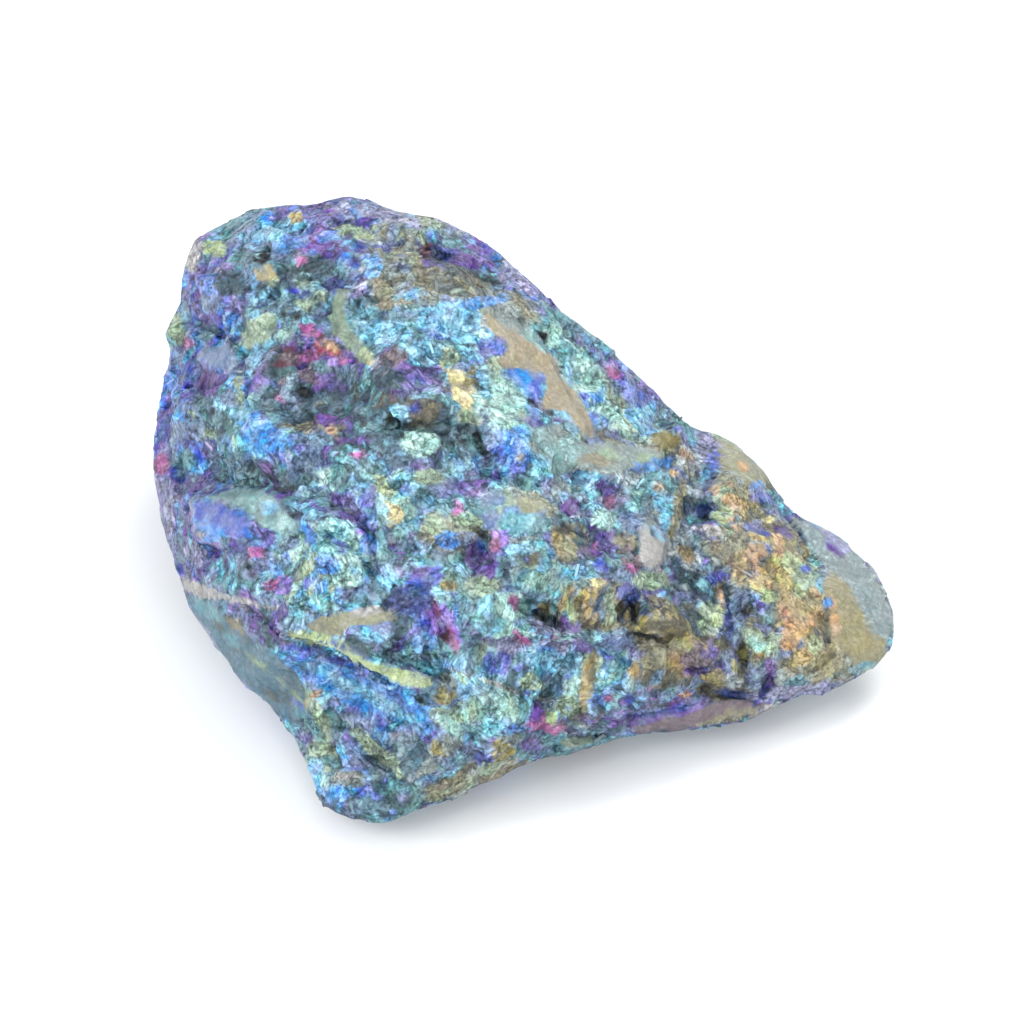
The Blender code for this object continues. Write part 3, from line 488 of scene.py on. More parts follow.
    ("indigo", 0.1, ((9.6, -7.6), (10.6, -7.4), (11.0, -8.6), (10.2, -9.0))),
    # Painted shadow: the black inside the pit below the middle.
    ("black", 0.0, ((1.4, -9.9), (2.2, -9.6), (2.6, -10.7), (3.8, -10.4), (4.0, -11.2), (3.4, -11.4),
        (2.0, -11.0))),
    ("lime", 0.1, ((4.0, -7.6), (4.7, -7.6), (5.7, -10.4), (5.2, -11.6), (4.6, -10.0))),
    ("gold", 0.1, ((5.8, -8.0), (6.6, -7.6), (7.5, -9.4), (7.5, -11.6), (6.8, -10.8))),
    ("sage", 0.1, ((8.8, -7.8), (9.5, -8.2), (9.5, -10.0), (8.8, -11.0))),
    ("gold", 0.4, ((7.5, -13.6), (6.9, -13.8), (6.2, -15.2), (5.8, -17.6), (6.2, -20.4), (6.7, -18.6),
        (7.3, -16.4), (7.4, -15.0))),
    ("rose", 0.1, ((1.0, -20.8), (2.0, -19.6), (2.8, -20.8), (4.2, -21.1), (4.8, -21.7), (3.6, -22.2),
        (1.6, -22.0))),
    ("moss", 0.7, ((4.0, -22.9), (7.0, -22.4), (7.8, -23.2), (4.6, -24.0))),
)

# Single patches laid over the zones, as ovals.
PATCHES = (
    ("cyan", ((4, -15, 2, 0.7), (-24.8, 0.2, 1.1, 0.6), (-9.6, 15, 1.4, 0.7), (-17.4, -17, 2.4, 0.6, -26),
        (-13.4, -19, 2.6, 0.6, -30), (-10.6, -20.8, 1.4, 0.6, -35), (-20.6, -15.6, 1.6, 0.4, -14),
        (5, -15.4, 1.2, 0.9), (3, -14.6, 3, 1.3, -6), (7, 3, 1.3, 1), (-5, -15, 1.3, 0.9),
        (-25, 21.2, 1.1, 0.8), (-9.2, 15.4, 1.6, 1.2), (3, 4.8, 1.6, 0.8), (-24, 28, 3, 1, 10),
        (-13.5, 17.5, 2.4, 1.2), (-7.6, 19.4, 2.6, 1, 10), (-21, 0.1, 1.8, 0.5, -14), (5, -6.4, 2, 0.5, -6),
        (-5, 15.4, 1.6, 0.5, -30), (-14.6, -12.3, 1.6, 0.6), (13, 10, 0.6, 1, -40),
        (-28.6, 9.8, 2.2, 0.4, -30), (-15.3, 19.4, 1, 1.6), (-12, 9.5, 1, 0.8, -20),
        (0, -3.7, 1.4, 0.5, 10))),
    ("teal", ((-31.2, -9.8, 1.6, 0.7, -40), (-21.4, -20.6, 1.6, 0.6, -60), (-28.6, -13, 1.2, 0.5, -45),
        (-33.4, 5, 1, 1), (-27, 3, 1.4, 0.8), (-19.4, 1.2, 1, 0.8), (-15, 19, 1, 1), (-31.4, 17.7, 1.2, 0.7),
        (12.6, 3, 2.6, 0.8, 20), (27.6, -17.2, 1.2, 0.6), (33.6, -15.8, 2, 0.4, 14), (-5.6, 0.4, 3.2, 0.9),
        (0.4, -1.4, 2.4, 1.1), (5.4, -23.6, 3.2, 0.5, 10))),
    ("azure", ((-15, -3.4, 1, 1), (-9.4, -13, 1.2, 1), (-7, -3, 1.1, 0.9), (-23, 27, 1.6, 0.9),
        (-33.4, 9, 1, 1.2), (-19, -5.4, 1.3, 0.8), (12.6, 4.5, 1.6, 0.4, 12), (-28.8, 19, 0.9, 0.8),
        (-29.2, 17.3, 0.7, 0.4), (-4, 20.6, 2.4, 0.6, 10), (-24.2, -6.1, 0.4, 1.4, 14),
        (10.3, 14.6, 0.5, 0.9), (-14.6, 24.2, 1, 1.3), (30.7, -9.4, 0.4, 0.6), (23.7, 2.5, 0.7, 0.4),
        (2.6, -13.6, 1.6, 0.4))),
    # Mint patches. The first is also painted light, lightening the pale facet where the crack beside it
    # shades it.
    ("mint", ((-17, -3, 1.6, 1.2, -10), (-1, -9.4, 1.6, 1.3), (-11, 0.2, 1, 1.2), (6.8, 13.8, 1.9, 1.2, -50),
        (3, 17, 1, 0.8, -50), (-9.7, 6.6, 1.9, 1.3), (-12.2, 0.4, 1.0, 0.8, 10), (8.3, -0.9, 1.1, 1),
        (9, 9.6, 1.6, 0.8, -40), (-4.2, 10.4, 0.5, 1.3))),
    # Pale patches. Those at u 15 to 17 are also painted light, lightening faces that turn away from the
    # lamps.
    ("frost", ((21, -17, 1, 0.8), (15.8, -3, 1.4, 1.2), (17, 5, 1.3, 1.3), (17.2, 1.6, 1, 0.9),
        (17, -5, 1, 0.9), (11, 3, 1.2, 0.8), (9.2, 1.2, 1, 0.8))),
    ("mauve", ((17.4, -14.8, 1.6, 0.8), (11, -5.2, 1, 0.9), (-23, 15, 1, 0.8))),
    ("umber", ((-4.4, 22.6, 1.3, 0.35, -30), (-7.4, 22.8, 0.9, 0.3, -20), (7, -11, 1, 1))),
    ("shade", ((-28.4, -13.4, 1.3, 0.3, -50), (-24.7, -18.4, 0.9, 0.4, -45), (-29.8, -11.6, 0.9, 0.3, -50),
        (-6.6, 23, 3.8, 1.6, -34))),
    ("moss", ((-22.4, -18.2, 3.4, 0.3, -46), (-26.2, -15, 1.5, 0.3, -40))),
    ("slate", ((-13, 13, 1.6, 1.1), (-28.8, 22.8, 1.8, 1.3), (-20.6, 24.6, 1.2, 0.8))),
    ("steel", ((9.4, -13, 1.4, 0.9), (11, -1, 1.3, 0.9), (-31, 20.8, 1.2, 0.9), (-27, 23, 1.1, 0.8),
        (-3, 7, 0.9, 0.8), (-2.6, 1.2, 1.2, 1), (-15.6, -21.4, 1.6, 0.8, -30), (-25, -5, 1, 0.9),
        (-3, 5, 0.9, 0.9), (-29, 11, 1.2, 1), (-23, -3.2, 1.2, 0.8), (-33, 8.6, 1.4, 2), (-5, -3, 1.3, 0.9),
        (-23, 11, 1.4, 0.9))),
    ("deep", ((-27, 25, 1.6, 1.1), (-25, 11, 1.5, 0.9), (-11, -24, 1.8, 1.6), (-15, 20.6, 1, 0.9),
        (-19.2, 14.2, 1.4, 0.8), (-31.4, 10.8, 1, 0.8), (-11, -22.8, 1.2, 0.9), (-12.4, 5.2, 2, 0.9),
        (-25, 11.4, 1.2, 0.8), (-14.6, -29.2, 1.8, 0.9), (-11.2, -24.4, 1.6, 1.8), (-25, 10.6, 1.6, 0.9),
        (-14.4, 6.6, 2.4, 1.2))),
    ("grey", ((-17, -26.6, 1.6, 0.9), (-1.4, 19, 1.2, 0.8, -40), (-7, -17, 1, 0.8), (10.4, 4.4, 1.2, 0.5),
        (6.8, 4.6, 0.8, 0.7), (-1, -23, 1.2, 0.9, 20), (13, -0.8, 1, 0.8), (-9, 21, 1.3, 0.9, -20),
        (-1, 19.6, 1.6, 0.9, -40), (-7, -23, 1.4, 0.9), (3.4, 6.8, 2, 1.4))),
    ("tan", ((7.4, 5, 1.6, 0.7), (-12.3, 20.6, 2.2, 0.5, 10), (-9.6, 23.4, 0.6, 2.2, 16),
        (-1.6, -26.4, 3, 0.8, 26), (20.6, -20.3, 4, 0.9, 12), (13.5, -8.9, 1.4, 0.6, -10),
        (-28.2, -11.4, 1.3, 0.5, -40), (10.3, -3.3, 1.3, 1.1), (-21.6, 8.2, 2, 0.5))),
    ("olive", ((-5.2, 22, 1.4, 0.35, -34), (-8.4, 24, 0.9, 0.4, -30), (13, -15, 1.2, 0.9),
        (15.8, 0.6, 0.6, 3.6, -14), (14.4, -13.4, 1.6, 0.8))),
    ("lilac", ((3.2, -13.2, 1.8, 0.6, -8), (-1, -13.2, 1.6, 0.9), (-31.6, -12, 2.8, 0.4, -55),
        (-27.6, -17.4, 1.6, 0.3, -45), (9, 1, 1.3, 1), (18.8, 6.2, 1.1, 1.6), (-35.4, -1, 0.7, 5, 6),
        (28, -18, 5, 0.7, 8), (-13.4, 29.6, 4, 0.7, -16), (2.6, -11.5, 2, 0.6, -10),
        (-8, 29.4, 3, 0.5, -30))),
    ("violet", ((-31.5, 19.4, 1.4, 0.6, -10), (-7.6, -11, 0.8, 0.8), (9, 2, 0.8, 0.7), (8, -2.9, 1, 0.6),
        (6, -13.4, 1, 0.6), (9.6, 14.4, 1.3, 0.5, -50), (-3.8, -5.7, 0.6, 0.5), (1, -23.3, 0.9, 0.6),
        (18.8, -14, 0.9, 0.6), (-17.4, 1, 1.2, 0.5, -20), (-8.8, 24.6, 1.3, 0.4, -16))),
    ("sage", ((18.6, -10.6, 0.9, 1.5), (23.6, -13, 1.9, 0.8, -40), (-14.2, -23.7, 3.2, 0.7, -42),
        (25, -13.2, 0.9, 0.8), (8.6, 5.6, 1.2, 0.6), (12.4, 5.2, 1, 0.5), (-28, 12.2, 0.5, 1.5, 6),
        (-32.6, 9.6, 0.4, 0.4), (-7, 15.2, 1, 0.9), (1, -17, 1.2, 0.8), (7, -15, 1, 1), (-5, 9.2, 1, 0.9),
        (13, -7, 1.6, 1), (5, -19.4, 1.6, 1), (-9, 3.2, 1.4, 0.8), (-16.9, 27.9, 1.7, 0.7, -8),
        (-19.9, -20.4, 2.6, 0.7, -66), (-4, -14.2, 1.4, 0.5, 66), (-5.4, -1, 1.6, 0.7, -10),
        (8.8, -9.4, 0.5, 2), (-7.6, -20.4, 1.8, 1), (28.4, -6.4, 1.4, 1.2), (-3.6, -7.4, 1.7, 0.9),
        (20.4, 1, 0.9, 1.4), (-34.6, 18, 0.7, 1.8, 12), (-8.3, -1.3, 1.1, 1))),
    ("lime", ((24.6, -8.6, 0.8, 0.7), (27.8, -8, 0.7, 0.6), (-15.2, 15.6, 1.1, 0.5, -50),
        (-19.6, -12.5, 2.4, 0.4, -12), (3.1, -20.5, 0.5, 0.7), (29.4, -13.4, 1, 1),
        (-13.2, 2.2, 1.2, 0.6, -30), (26.6, -5, 1.3, 1), (20.8, -0.4, 0.5, 0.5), (19.4, -10.8, 0.6, 1))),
    ("gold", ((26.6, -7.4, 0.9, 0.8), (28, -14.6, 1.2, 0.8, 30), (25.4, -6, 0.8, 0.6),
        (4.6, -8.8, 0.4, 1.9, -24), (6.9, -9, 0.4, 1.7, -22), (3.8, -3.6, 0.4, 1.5, 18),
        (11.4, -16, 0.6, 1.1), (16.4, -4.2, 0.7, 0.7), (21.9, -5.9, 0.7, 0.8), (24, -7, 1, 0.6),
        (27.6, -9.4, 1, 0.7), (-22.4, 29.3, 0.6, 0.5), (9.2, -9, 0.35, 1.4))),
    ("ochre", ((14.6, 7, 1.5, 1.0), (-7.2, -18.2, 1.1, 0.9), (-8, -23.3, 0.9, 0.8), (-1.6, -23.5, 1.2, 1.1),
        (12, -11.2, 0.9, 0.8), (2.4, -9.8, 0.7, 0.5), (-7, -7.3, 0.9, 0.7), (19.6, -16.6, 0.9, 0.9),
        (-5, 13, 0.6, 1.3, -30))),
    ("orange", ((21.4, 0.8, 1.1, 0.6, -20), (21.3, -1, 0.4, 0.8, 20), (27.3, -11.3, 1.7, 0.8, 40),
        (26.5, -13.4, 0.8, 0.7), (29.2, -10.4, 0.9, 0.6, 30), (25.7, -3.6, 0.6, 1.2, 10),
        (23, -4.4, 1.2, 0.6), (19.3, 2.1, 0.5, 0.4), (16.3, -18.2, 0.6, 0.4), (16.9, -4.9, 0.5, 0.4),
        (22.4, 4.4, 0.7, 0.5, -45), (31.3, -10.6, 0.5, 1.8, 10), (-18.9, 16.2, 0.9, 0.5, -20),
        (15.3, 3.7, 0.5, 0.4), (-20.4, -18.4, 0.35, 1.1, -40), (20, -8.4, 0.4, 1), (11.5, -15.6, 0.4, 0.6),
        (13.8, 2.2, 0.6, 0.4), (16.6, 5.4, 0.9, 0.4, -40), (-18.5, 7.8, 0.7, 0.4))),
    ("rose", ((-21.3, 15.3, 0.8, 0.5), (-20.8, 17.7, 1.2, 0.5, -30), (-33.6, 16.8, 0.9, 0.5),
        (-6.9, -12.2, 0.4, 1.2, 14), (-6.4, -13.2, 0.4, 0.8, 20), (-8.3, -9.4, 0.35, 1, 24),
        (9.4, 13.8, 0.6, 0.7), (2.2, -21.4, 1.4, 0.4, -10), (-6.1, -0.2, 0.5, 1.1), (-2.2, -3.2, 1, 0.6, 40),
        (9, 1, 0.4, 0.8, -10), (-26.3, -4.1, 0.9, 0.35), (-24, -7.2, 1.1, 0.6, 30), (-36, 4.6, 0.7, 1.2),
        (-21.9, 24.9, 0.6, 0.45), (-24, 11.3, 0.7, 0.35, -40), (0.3, -12.5, 1.1, 0.4, -30),
        (3.3, -12.9, 0.6, 0.35), (4.3, -15.2, 0.4, 0.6), (12.9, -17.8, 0.6, 0.35, 30), (-0.6, -9, 0.4, 0.7),
        (-17.4, 14.8, 0.8, 0.4), (11, -5.8, 0.6, 0.35, -20), (-16, 5.4, 1.6, 0.35), (7.4, -3.8, 0.4, 0.4),
        (-19, -14.3, 1.5, 0.3, -14), (8.8, -18.6, 0.5, 0.35))),
    ("plum", ((17.2, -16, 1.2, 0.45), (-6.6, 25.2, 2.4, 0.9, -16), (-19, 26, 1.2, 0.8),
        (-31.2, 12.6, 1.2, 1.3), (-4.6, -4.4, 0.6, 1.4, -6), (-2.9, -5.4, 0.6, 1.1), (7.8, -3.9, 1.6, 0.5),
        (8.4, 2.4, 0.9, 0.5, -10), (-5.2, 24.8, 1.4, 0.7, -20), (-16.2, 6.8, 1.4, 0.4), (5, 0.4, 1.1, 0.8),
        (1.6, -19.9, 0.5, 1), (12, -20.8, 2.4, 0.5, 6), (24.9, -16.6, 0.5, 1.4), (26.4, -2.2, 1.1, 0.5, -30),
        (31.6, -4, 1, 0.45, -42))),
    ("indigo", ((-22, -19.2, 0.8, 0.4, -40), (-17, 1, 1, 0.8), (-15, 1, 0.8, 0.8), (-15, -1, 1, 1),
        (-9.4, -11, 1, 0.8), (11.2, 11.7, 1.6, 0.9, -44), (-1.7, 5.6, 1, 1.1), (-2.4, -15, 1.4, 1.1),
        (-20.6, -14, 2.6, 0.5, -14), (-18, -3.2, 0.35, 1.4, 40), (8.1, -5.3, 0.8, 0.7),
        (10.3, -7.9, 0.6, 0.4), (15.7, -19.6, 1.2, 0.5, 10), (-7.4, 25.7, 1.2, 0.5, -8),
        (-9.4, -6.8, 2, 0.9, 10), (-14, -28.2, 0.9, 0.4), (23.6, -1.9, 0.9, 0.35, -30),
        (24.4, 1.2, 1.1, 0.7, -10), (-3.6, -24.4, 0.7, 0.6), (28.4, -6, 0.45, 0.5), (-13.4, 26.3, 0.8, 0.4),
        (19.3, 4.8, 0.6, 1.2))),
    ("navy", ((-7.8, 25.4, 0.9, 0.5), (18.1, 0.1, 0.6, 0.7), (-22, 21.6, 1.3, 0.45, -20),
        (-18.6, 22.4, 1.3, 0.8), (-29.6, 17.4, 1.6, 0.5, -18), (11, -8.6, 0.8, 0.9), (19.3, -6.7, 1.3, 0.6),
        (-18.8, -13, 2, 0.4, -12), (12.6, -20.3, 2.2, 0.4, 4), (21.4, -18.3, 1.8, 0.4, -4),
        (10.8, -18.7, 0.6, 0.5), (20.8, -11, 0.2, 1.8, 8), (24.2, -18.2, 1.5, 0.4, 50),
        (-4, -3.6, 0.5, 0.9))),
    ("wine", ((-9.8, 26, 0.5, 0.6), (-9, 25.8, 0.8, 0.8, -20), (-19.8, 17, 0.8, 0.45, -30),
        (-22.8, 15.9, 0.8, 0.35), (-7.3, -12.4, 0.3, 0.5), (25.6, -18.4, 0.9, 0.4), (-23.5, 14.4, 1.4, 0.4))),
    ("chalk", ((-33, 25.8, 0.9, 1.8, -16), (-32.4, -7.7, 1.8, 0.5, -22), (-29, -8.8, 2.2, 0.2, -14),
        (-24.6, -9.6, 2.6, 0.16, -8), (-15, -9.9, 1.5, 0.5, 8), (-1.6, -17.4, 3.6, 0.16, -18),
        (18.6, -2.1, 1.3, 0.5, -10), (25, -20, 1.6, 0.6, 22), (-17, -26.4, 0.8, 0.4),
        (31.4, -2.3, 1.2, 0.4, -30), (0, 5.2, 0.4, 0.4), (-3.7, 18.5, 0.3, 0.5), (-31.8, -2.4, 0.5, 0.3))),
    ("cream", ((-14.6, 14.6, 0.6, 0.3, -30), (25, -0.9, 0.6, 0.4), (7.6, -7.1, 0.7, 0.3),
        (-12.6, 20.7, 1, 0.2, 12), (13.2, -9.4, 0.5, 0.2, -30), (-8.4, -4.7, 0.5, 0.3))),
    # Painted shadow: near-black in holes, pits and cracks.
    ("black", ((3.1, -10.9, 1.3, 0.4, -18), (-25.7, 25.3, 0.9, 0.7), (11.2, -10.2, 0.45, 1.1, -6),
        (22.4, -10, 0.3, 0.6, -20), (-21.3, 11.6, 0.7, 0.5), (1.2, 10.7, 0.6, 0.3, -20),
        (-4.2, 7.2, 0.3, 1.6, 12), (-3.7, 5.7, 0.8, 0.3, -50), (-22, 19.3, 0.4, 0.3),
        (-9.6, -18.6, 0.6, 0.3, -30), (-3.4, 23, 1.6, 0.3, -20), (2.3, 17.2, 0.6, 0.5, -40),
        (18.5, -0.7, 0.5, 0.3, -30), (-16.3, 6.4, 0.8, 0.3), (17.7, 3.8, 0.25, 0.7),
        (-3.7, -2.4, 0.8, 0.3, -40), (12.6, -12.5, 1.5, 0.3, -12))),
)

# Narrow cracks and lips: depth, half width, and line.
CRACKS = (
    (0.75, 0.4, ((-4.6, 8.0), (-4.4, 7.2), (-3.4, 5.1))),
    (0.6, 0.4, ((-13.6, 8.5), (-9.0, 8.0), (-4.4, 8.0))),
    (0.45, 0.3, ((-4.2, 3.7), (-1.0, 3.4), (2.8, 2.5))),
    (0.75, 0.45, ((-23.0, -12.9), (-20.0, -13.4), (-17.2, -14.6), (-14.6, -16.4), (-11.4, -17.8))),
    (0.7, 0.45, ((-13.4, -13.7), (-10.0, -15.1), (-6.6, -16.6))),
    (0.45, 0.3, ((11.5, -1.8), (11.3, -5.2))),
    (0.55, 0.35, ((11.0, -12.2), (13.3, -12.9), (15.4, -12.6))),
    (0.5, 0.3, ((20.3, -7.2), (20.7, -10.0), (21.2, -12.4))),
    (0.5, 0.3, ((16.8, -6.8), (17.3, -9.0), (17.9, -11.3))),
    (0.5, 0.32, ((22.0, -12.8), (22.3, -16.2))),
    (0.5, 0.3, ((16.2, -15.5), (18.0, -16.2), (20.4, -14.8))),
    (0.55, 0.35, ((17.8, -17.2), (19.4, -18.3), (22.4, -18.3), (23.8, -19.0), (25.2, -16.6))),
    (0.5, 0.3, ((10.6, -20.7), (14.0, -20.3), (17.2, -19.5))),
    (0.5, 0.3, ((2.5, -24.0), (5.0, -22.9), (9.2, -22.4))),
    (0.4, 0.25, ((30.3, -10.2), (30.5, -12.0), (31.0, -14.0))),
    (0.4, 0.28, ((26.6, -0.2), (27.8, -1.9), (29.2, -3.9))),
    (0.5, 0.3, ((10.0, 7.7), (11.6, 7.2), (13.0, 6.3))),
    (0.35, 0.25, ((0.8, -13.1), (4.6, -13.3))),
    (0.45, 0.3, ((-4.6, -12.6), (-1.8, -13.1))),
    (0.5, 0.35, ((-33.2, 19.1), (-31.0, 18.2), (-28.8, 16.9))),
    (0.55, 0.35, ((-30.6, 3.2), (-25.0, 2.6), (-21.6, 2.0))),
    (0.55, 0.35, ((-19.4, 1.3), (-16.6, -0.2), (-14.6, -2.4), (-14.2, -5.4))),
    (0.45, 0.28, ((-18.4, 28.7), (-16.6, 28.9), (-14.2, 28.0))),
    (0.45, 0.3, ((-5.2, 24.3), (-3.4, 23.2), (-1.4, 22.7))),
    (0.45, 0.28, ((1.0, 18.4), (2.2, 17.4), (3.2, 15.6))),
    (0.4, 0.25, ((4.8, 12.6), (6.8, 11.2))),
    (0.4, 0.25, ((2.6, -4.0), (4.4, -5.0), (6.2, -5.0), (7.6, -6.6))),
    (0.5, 0.3, ((-27.2, -9.6), (-24.6, -11.4), (-22.4, -12.6))),
    (0.4, 0.28, ((-15.4, -24.2), (-13.4, -25.4), (-12.2, -26.6))),
    (0.4, 0.25, ((-9.0, -8.4), (-8.0, -10.4), (-7.2, -12.6))),
)

# Small deep pits: depth, and then the oval.
PITS = (
    (1.0, 2.6, -10.6, 1.5, 0.55, -22), (0.8, 3.9, -11.2, 0.7, 0.5, -50), (0.7, 11.2, -10.3, 0.4, 1.0, -6),
    (0.35, 18.1, -0.1, 0.6, 0.7), (0.4, 22.4, -10.0, 0.35, 0.6, -20), (0.6, -25.7, 25.6, 0.8, 0.6),
    (0.35, -8.4, 25.7, 1.2, 0.5, -10), (0.35, -19.2, 22.3, 0.7, 0.5), (0.3, -16.3, 6.5, 0.7, 0.35),
    (0.4, 1.2, 10.7, 0.6, 0.4, -20), (0.35, -9.6, -18.6, 0.5, 0.35, -30), (0.4, -4.2, -4.2, 0.5, 1.0, -6),
    (0.4, -3.7, -2.3, 0.8, 0.4, -40), (0.35, 7.6, -11.4, 1.2, 0.5, -10),
)

# Faces that stay nearly smooth.
SMOOTH = (
    (1.0, 15.4, 4.8, 1.7, -48), (4.8, 10.8, 4.6, 1.4, -54), (9.4, 5.4, 5.4, 1.3, -4),
    (-0.8, -0.3, 3.6, 2.0, -4), (33.8, -10.4, 2.8, 6.0, 14), (31.4, -3.4, 4.2, 1.2, -38),
    (22.2, 4.8, 3.4, 1.7, -45), (-27.4, -14.6, 7.0, 2.4, -40), (-30.5, 15.3, 2.0, 1.1),
    (-29.8, -1.2, 3.2, 1.5, -14), (-16.8, -10.9, 4.2, 0.9, 6), (18.0, -20.4, 6.4, 0.9, 8),
    (-25.6, 23.9, 1.2, 1.0), (13.0, -3.6, 1.5, 2.4, 8), (-17.9, 19.3, 3.2, 0.8, -78),
    (-17.0, -13.6, 4.4, 0.7, -34), (0.8, 12.6, 1.6, 1.0, -36), (-26.5, 1.4, 4.0, 0.8, -8),
    (14.6, 7.0, 1.3, 0.9),
)

# Places where the crystals stand upright in the photo as fibres.
FIBRES = (
    (7.0, -9.6, 4.0, 3.0), (22.6, -14.6, 2.6, 3.4), (2.0, -15.6, 8.0, 3.2), (12.4, -16.0, 4.6, 2.6),
    (-3.6, -10.4, 3.0, 2.6), (-2.0, -20.0, 5.0, 2.0),
)


def linear(display):
    """A display colour as the linear one that a shader takes."""
    return tuple(c / 12.92 if c <= 0.04045 else ((c + 0.055) / 1.055) ** 2.4 for c in display) + (1.0,)


def rise(x):
    """0 to 1 with level ends."""
    x = np.clip(x, 0, 1)
    return x * x * (3 - 2 * x)


def along(points, way):
    """How far each point lies along a way, summed in a fixed order, as in normals."""
    return sum(points[:, axis] * part for axis, part in enumerate(way))


def from_mesh(source, key, count, width, kind=np.float32):
    """An array read from a mesh's data, this many rows of this width."""
    flat = np.empty(count * width, kind)
    source.foreach_get(key, flat)
    return flat.reshape(-1, width)


def coordinates(mesh):
    return from_mesh(mesh.vertices, "co", len(mesh.vertices), 3).astype(float)


def normals(mesh):
    """The way out at each vertex, summed in a fixed order, so that it is the same in each run."""
    points = coordinates(mesh)
    mesh.calc_loop_triangles()
    corners = from_mesh(mesh.loop_triangles, "vertices", len(mesh.loop_triangles), 3, np.int32)
    first, second, third = (points[corners[:, i]] for i in range(3))
    face = np.cross(second - first, third - first)
    ends = corners.reshape(-1)
    out = np.stack([np.bincount(ends, np.repeat(side, 3), len(points)) for side in face.T], axis=1)
    return out / np.maximum(np.linalg.norm(out, axis=1), 1e-30)[:, None]


def move_to(mesh, points):
    mesh.vertices.foreach_set("co", points.astype(np.float32).reshape(-1))
    mesh.update()


def store(mesh, name, values):
    """One number for each vertex, or three, kept on the mesh."""
    kind, key = ("FLOAT", "value") if values.ndim == 1 else ("FLOAT_VECTOR", "vector")
    layer = mesh.attributes.new(name, kind, "POINT")
    layer.data.foreach_set(key, values.astype(np.float32).reshape(-1))


def read_number(mesh, name):
    return from_mesh(mesh.attributes[name].data, "value", len(mesh.vertices), 1).reshape(-1).astype(float)


def read_vector(mesh, name):
    return from_mesh(mesh.attributes[name].data, "vector", len(mesh.vertices), 3).astype(float)


def edge_ends(mesh):
    return from_mesh(mesh.edges, "vertices", len(mesh.edges), 2, np.int32)


def around(values, ends, rounds, share):
    """Values drawn part of the way to the mean of their neighbours."""
    size = len(values)
    first, second = ends[:, 0], ends[:, 1]
    count = np.bincount(ends.reshape(-1), minlength=size)[:, None]
    for _ in range(rounds):
        totals = [
            np.bincount(first, column[second], size) + np.bincount(second, column[first], size)
            for column in values.T
        ]
        values = values + (np.stack(totals, axis=1) / count - values) * share
    return values


def placed(name, data):
    """An object in the scene that holds this data."""
    holder = bpy.data.objects.new(name, data)
    bpy.context.scene.collection.objects.link(holder)
    return holder


def finished(holder):
    """The plain mesh that an object's modifier makes. The object goes."""
    graph = bpy.context.evaluated_depsgraph_get()
    made = bpy.data.meshes.new_from_object(holder.evaluated_get(graph))
    holder.modifiers.clear()
    bpy.data.objects.remove(holder)
    return made


def through_modifier(name, mesh, kind, **settings):
    """The plain mesh that one modifier makes from this mesh."""
    holder = placed(name, mesh)
    modifier = holder.modifiers.new(name, kind)
    for key, value in settings.items():
        setattr(modifier, key, value)
    return finished(holder)


def through_tree(name, mesh, tree, **inputs):
    """The plain mesh that a geometry tree makes from this mesh with these inputs."""
    holder = placed(name, mesh)
    modifier = holder.modifiers.new(name, "NODES")
    modifier.node_group = tree
    for item in tree.interface.items_tree:
        if item.in_out == "INPUT" and item.name in inputs:
            modifier[item.identifier] = inputs[item.name]
    return finished(holder)


def from_oval(spots, u, v, long, wide, turn=0):
    """Distance from an oval's middle, where 1 is its edge."""
    angle = math.radians(turn)
    away = spots - (u, v)
    a = (away[:, 0] * math.cos(angle) + away[:, 1] * math.sin(angle)) / long
    b = (away[:, 1] * math.cos(angle) - away[:, 0] * math.sin(angle)) / wide
    return np.hypot(a, b)


def in_oval(spots, oval, reach, fade):
    """1 inside an oval, down to 0 at this many times its size, over a fade of that measure."""
    return rise((reach - from_oval(spots, *oval)) / fade)


def from_line(spots, line):
    """Distance to a broken line, and a fade towards its two ends."""
    line = np.array(line)
    lengths = np.linalg.norm(np.diff(line, axis=0), axis=1)
    starts = np.concatenate([[0], np.cumsum(lengths)])
    best = np.full(len(spots), np.inf)
    walked = np.zeros(len(spots))
    for i, length in enumerate(lengths):
        way = (line[i + 1] - line[i]) / length
        away = spots - line[i]
        t = np.clip(along(away, way), 0, length)
        distance = np.linalg.norm(away - t[:, None] * way, axis=1)
        closer = distance < best
        best[closer] = distance[closer]
        walked[closer] = starts[i] + t[closer]
    return best, rise(walked + CRACK_START) * rise(starts[-1] - walked + CRACK_START)


def in_outline(spots, outline):
    """How deep each spot lies inside an outline in mm, below 0 outside it."""
    line = np.array(outline + outline[:1])
    near = ((spots > line.min(axis=0) - FAR) & (spots < line.max(axis=0) + FAR)).all(axis=1)
    some = spots[near]
    within = np.zeros(len(some), bool)
    for (u, v), (next_u, next_v) in zip(line, line[1:]):
        if v != next_v:
            crossing = u + (some[:, 1] - v) / (next_v - v) * (next_u - u)
            within ^= ((v > some[:, 1]) != (next_v > some[:, 1])) & (some[:, 0] < crossing)
    distance = from_line(some, line)[0]
    depth = np.full(len(spots), -FAR)
    depth[near] = np.where(within, distance, -distance)
    return depth


def shaken(points, size, reach, seed):
    """Smooth random offsets in mm, one for each point."""
    shift = Vector((seed, seed, seed))
    return reach * np.array([noise.noise_vector(Vector(p) / size + shift)[:] for p in points / MM])


def view_spots(points, reference):
    """(u, v) in the photo, in mm, of each point, shaken so that drawn edges look natural."""
    widest, highest = along(reference, RIGHT) / MM, along(reference, UP) / MM
    u = along(points, RIGHT) / MM + (OUTLINE_LEFT + OUTLINE_RIGHT - widest.min() - widest.max()) / 2
    v = along(points, UP) / MM + (OUTLINE_TOP + OUTLINE_BOTTOM - highest.min() - highest.max()) / 2
    return np.stack([u, v], axis=1) + sum(shaken(points, *shake)[:, :2] for shake in EDGE_SHAKES)


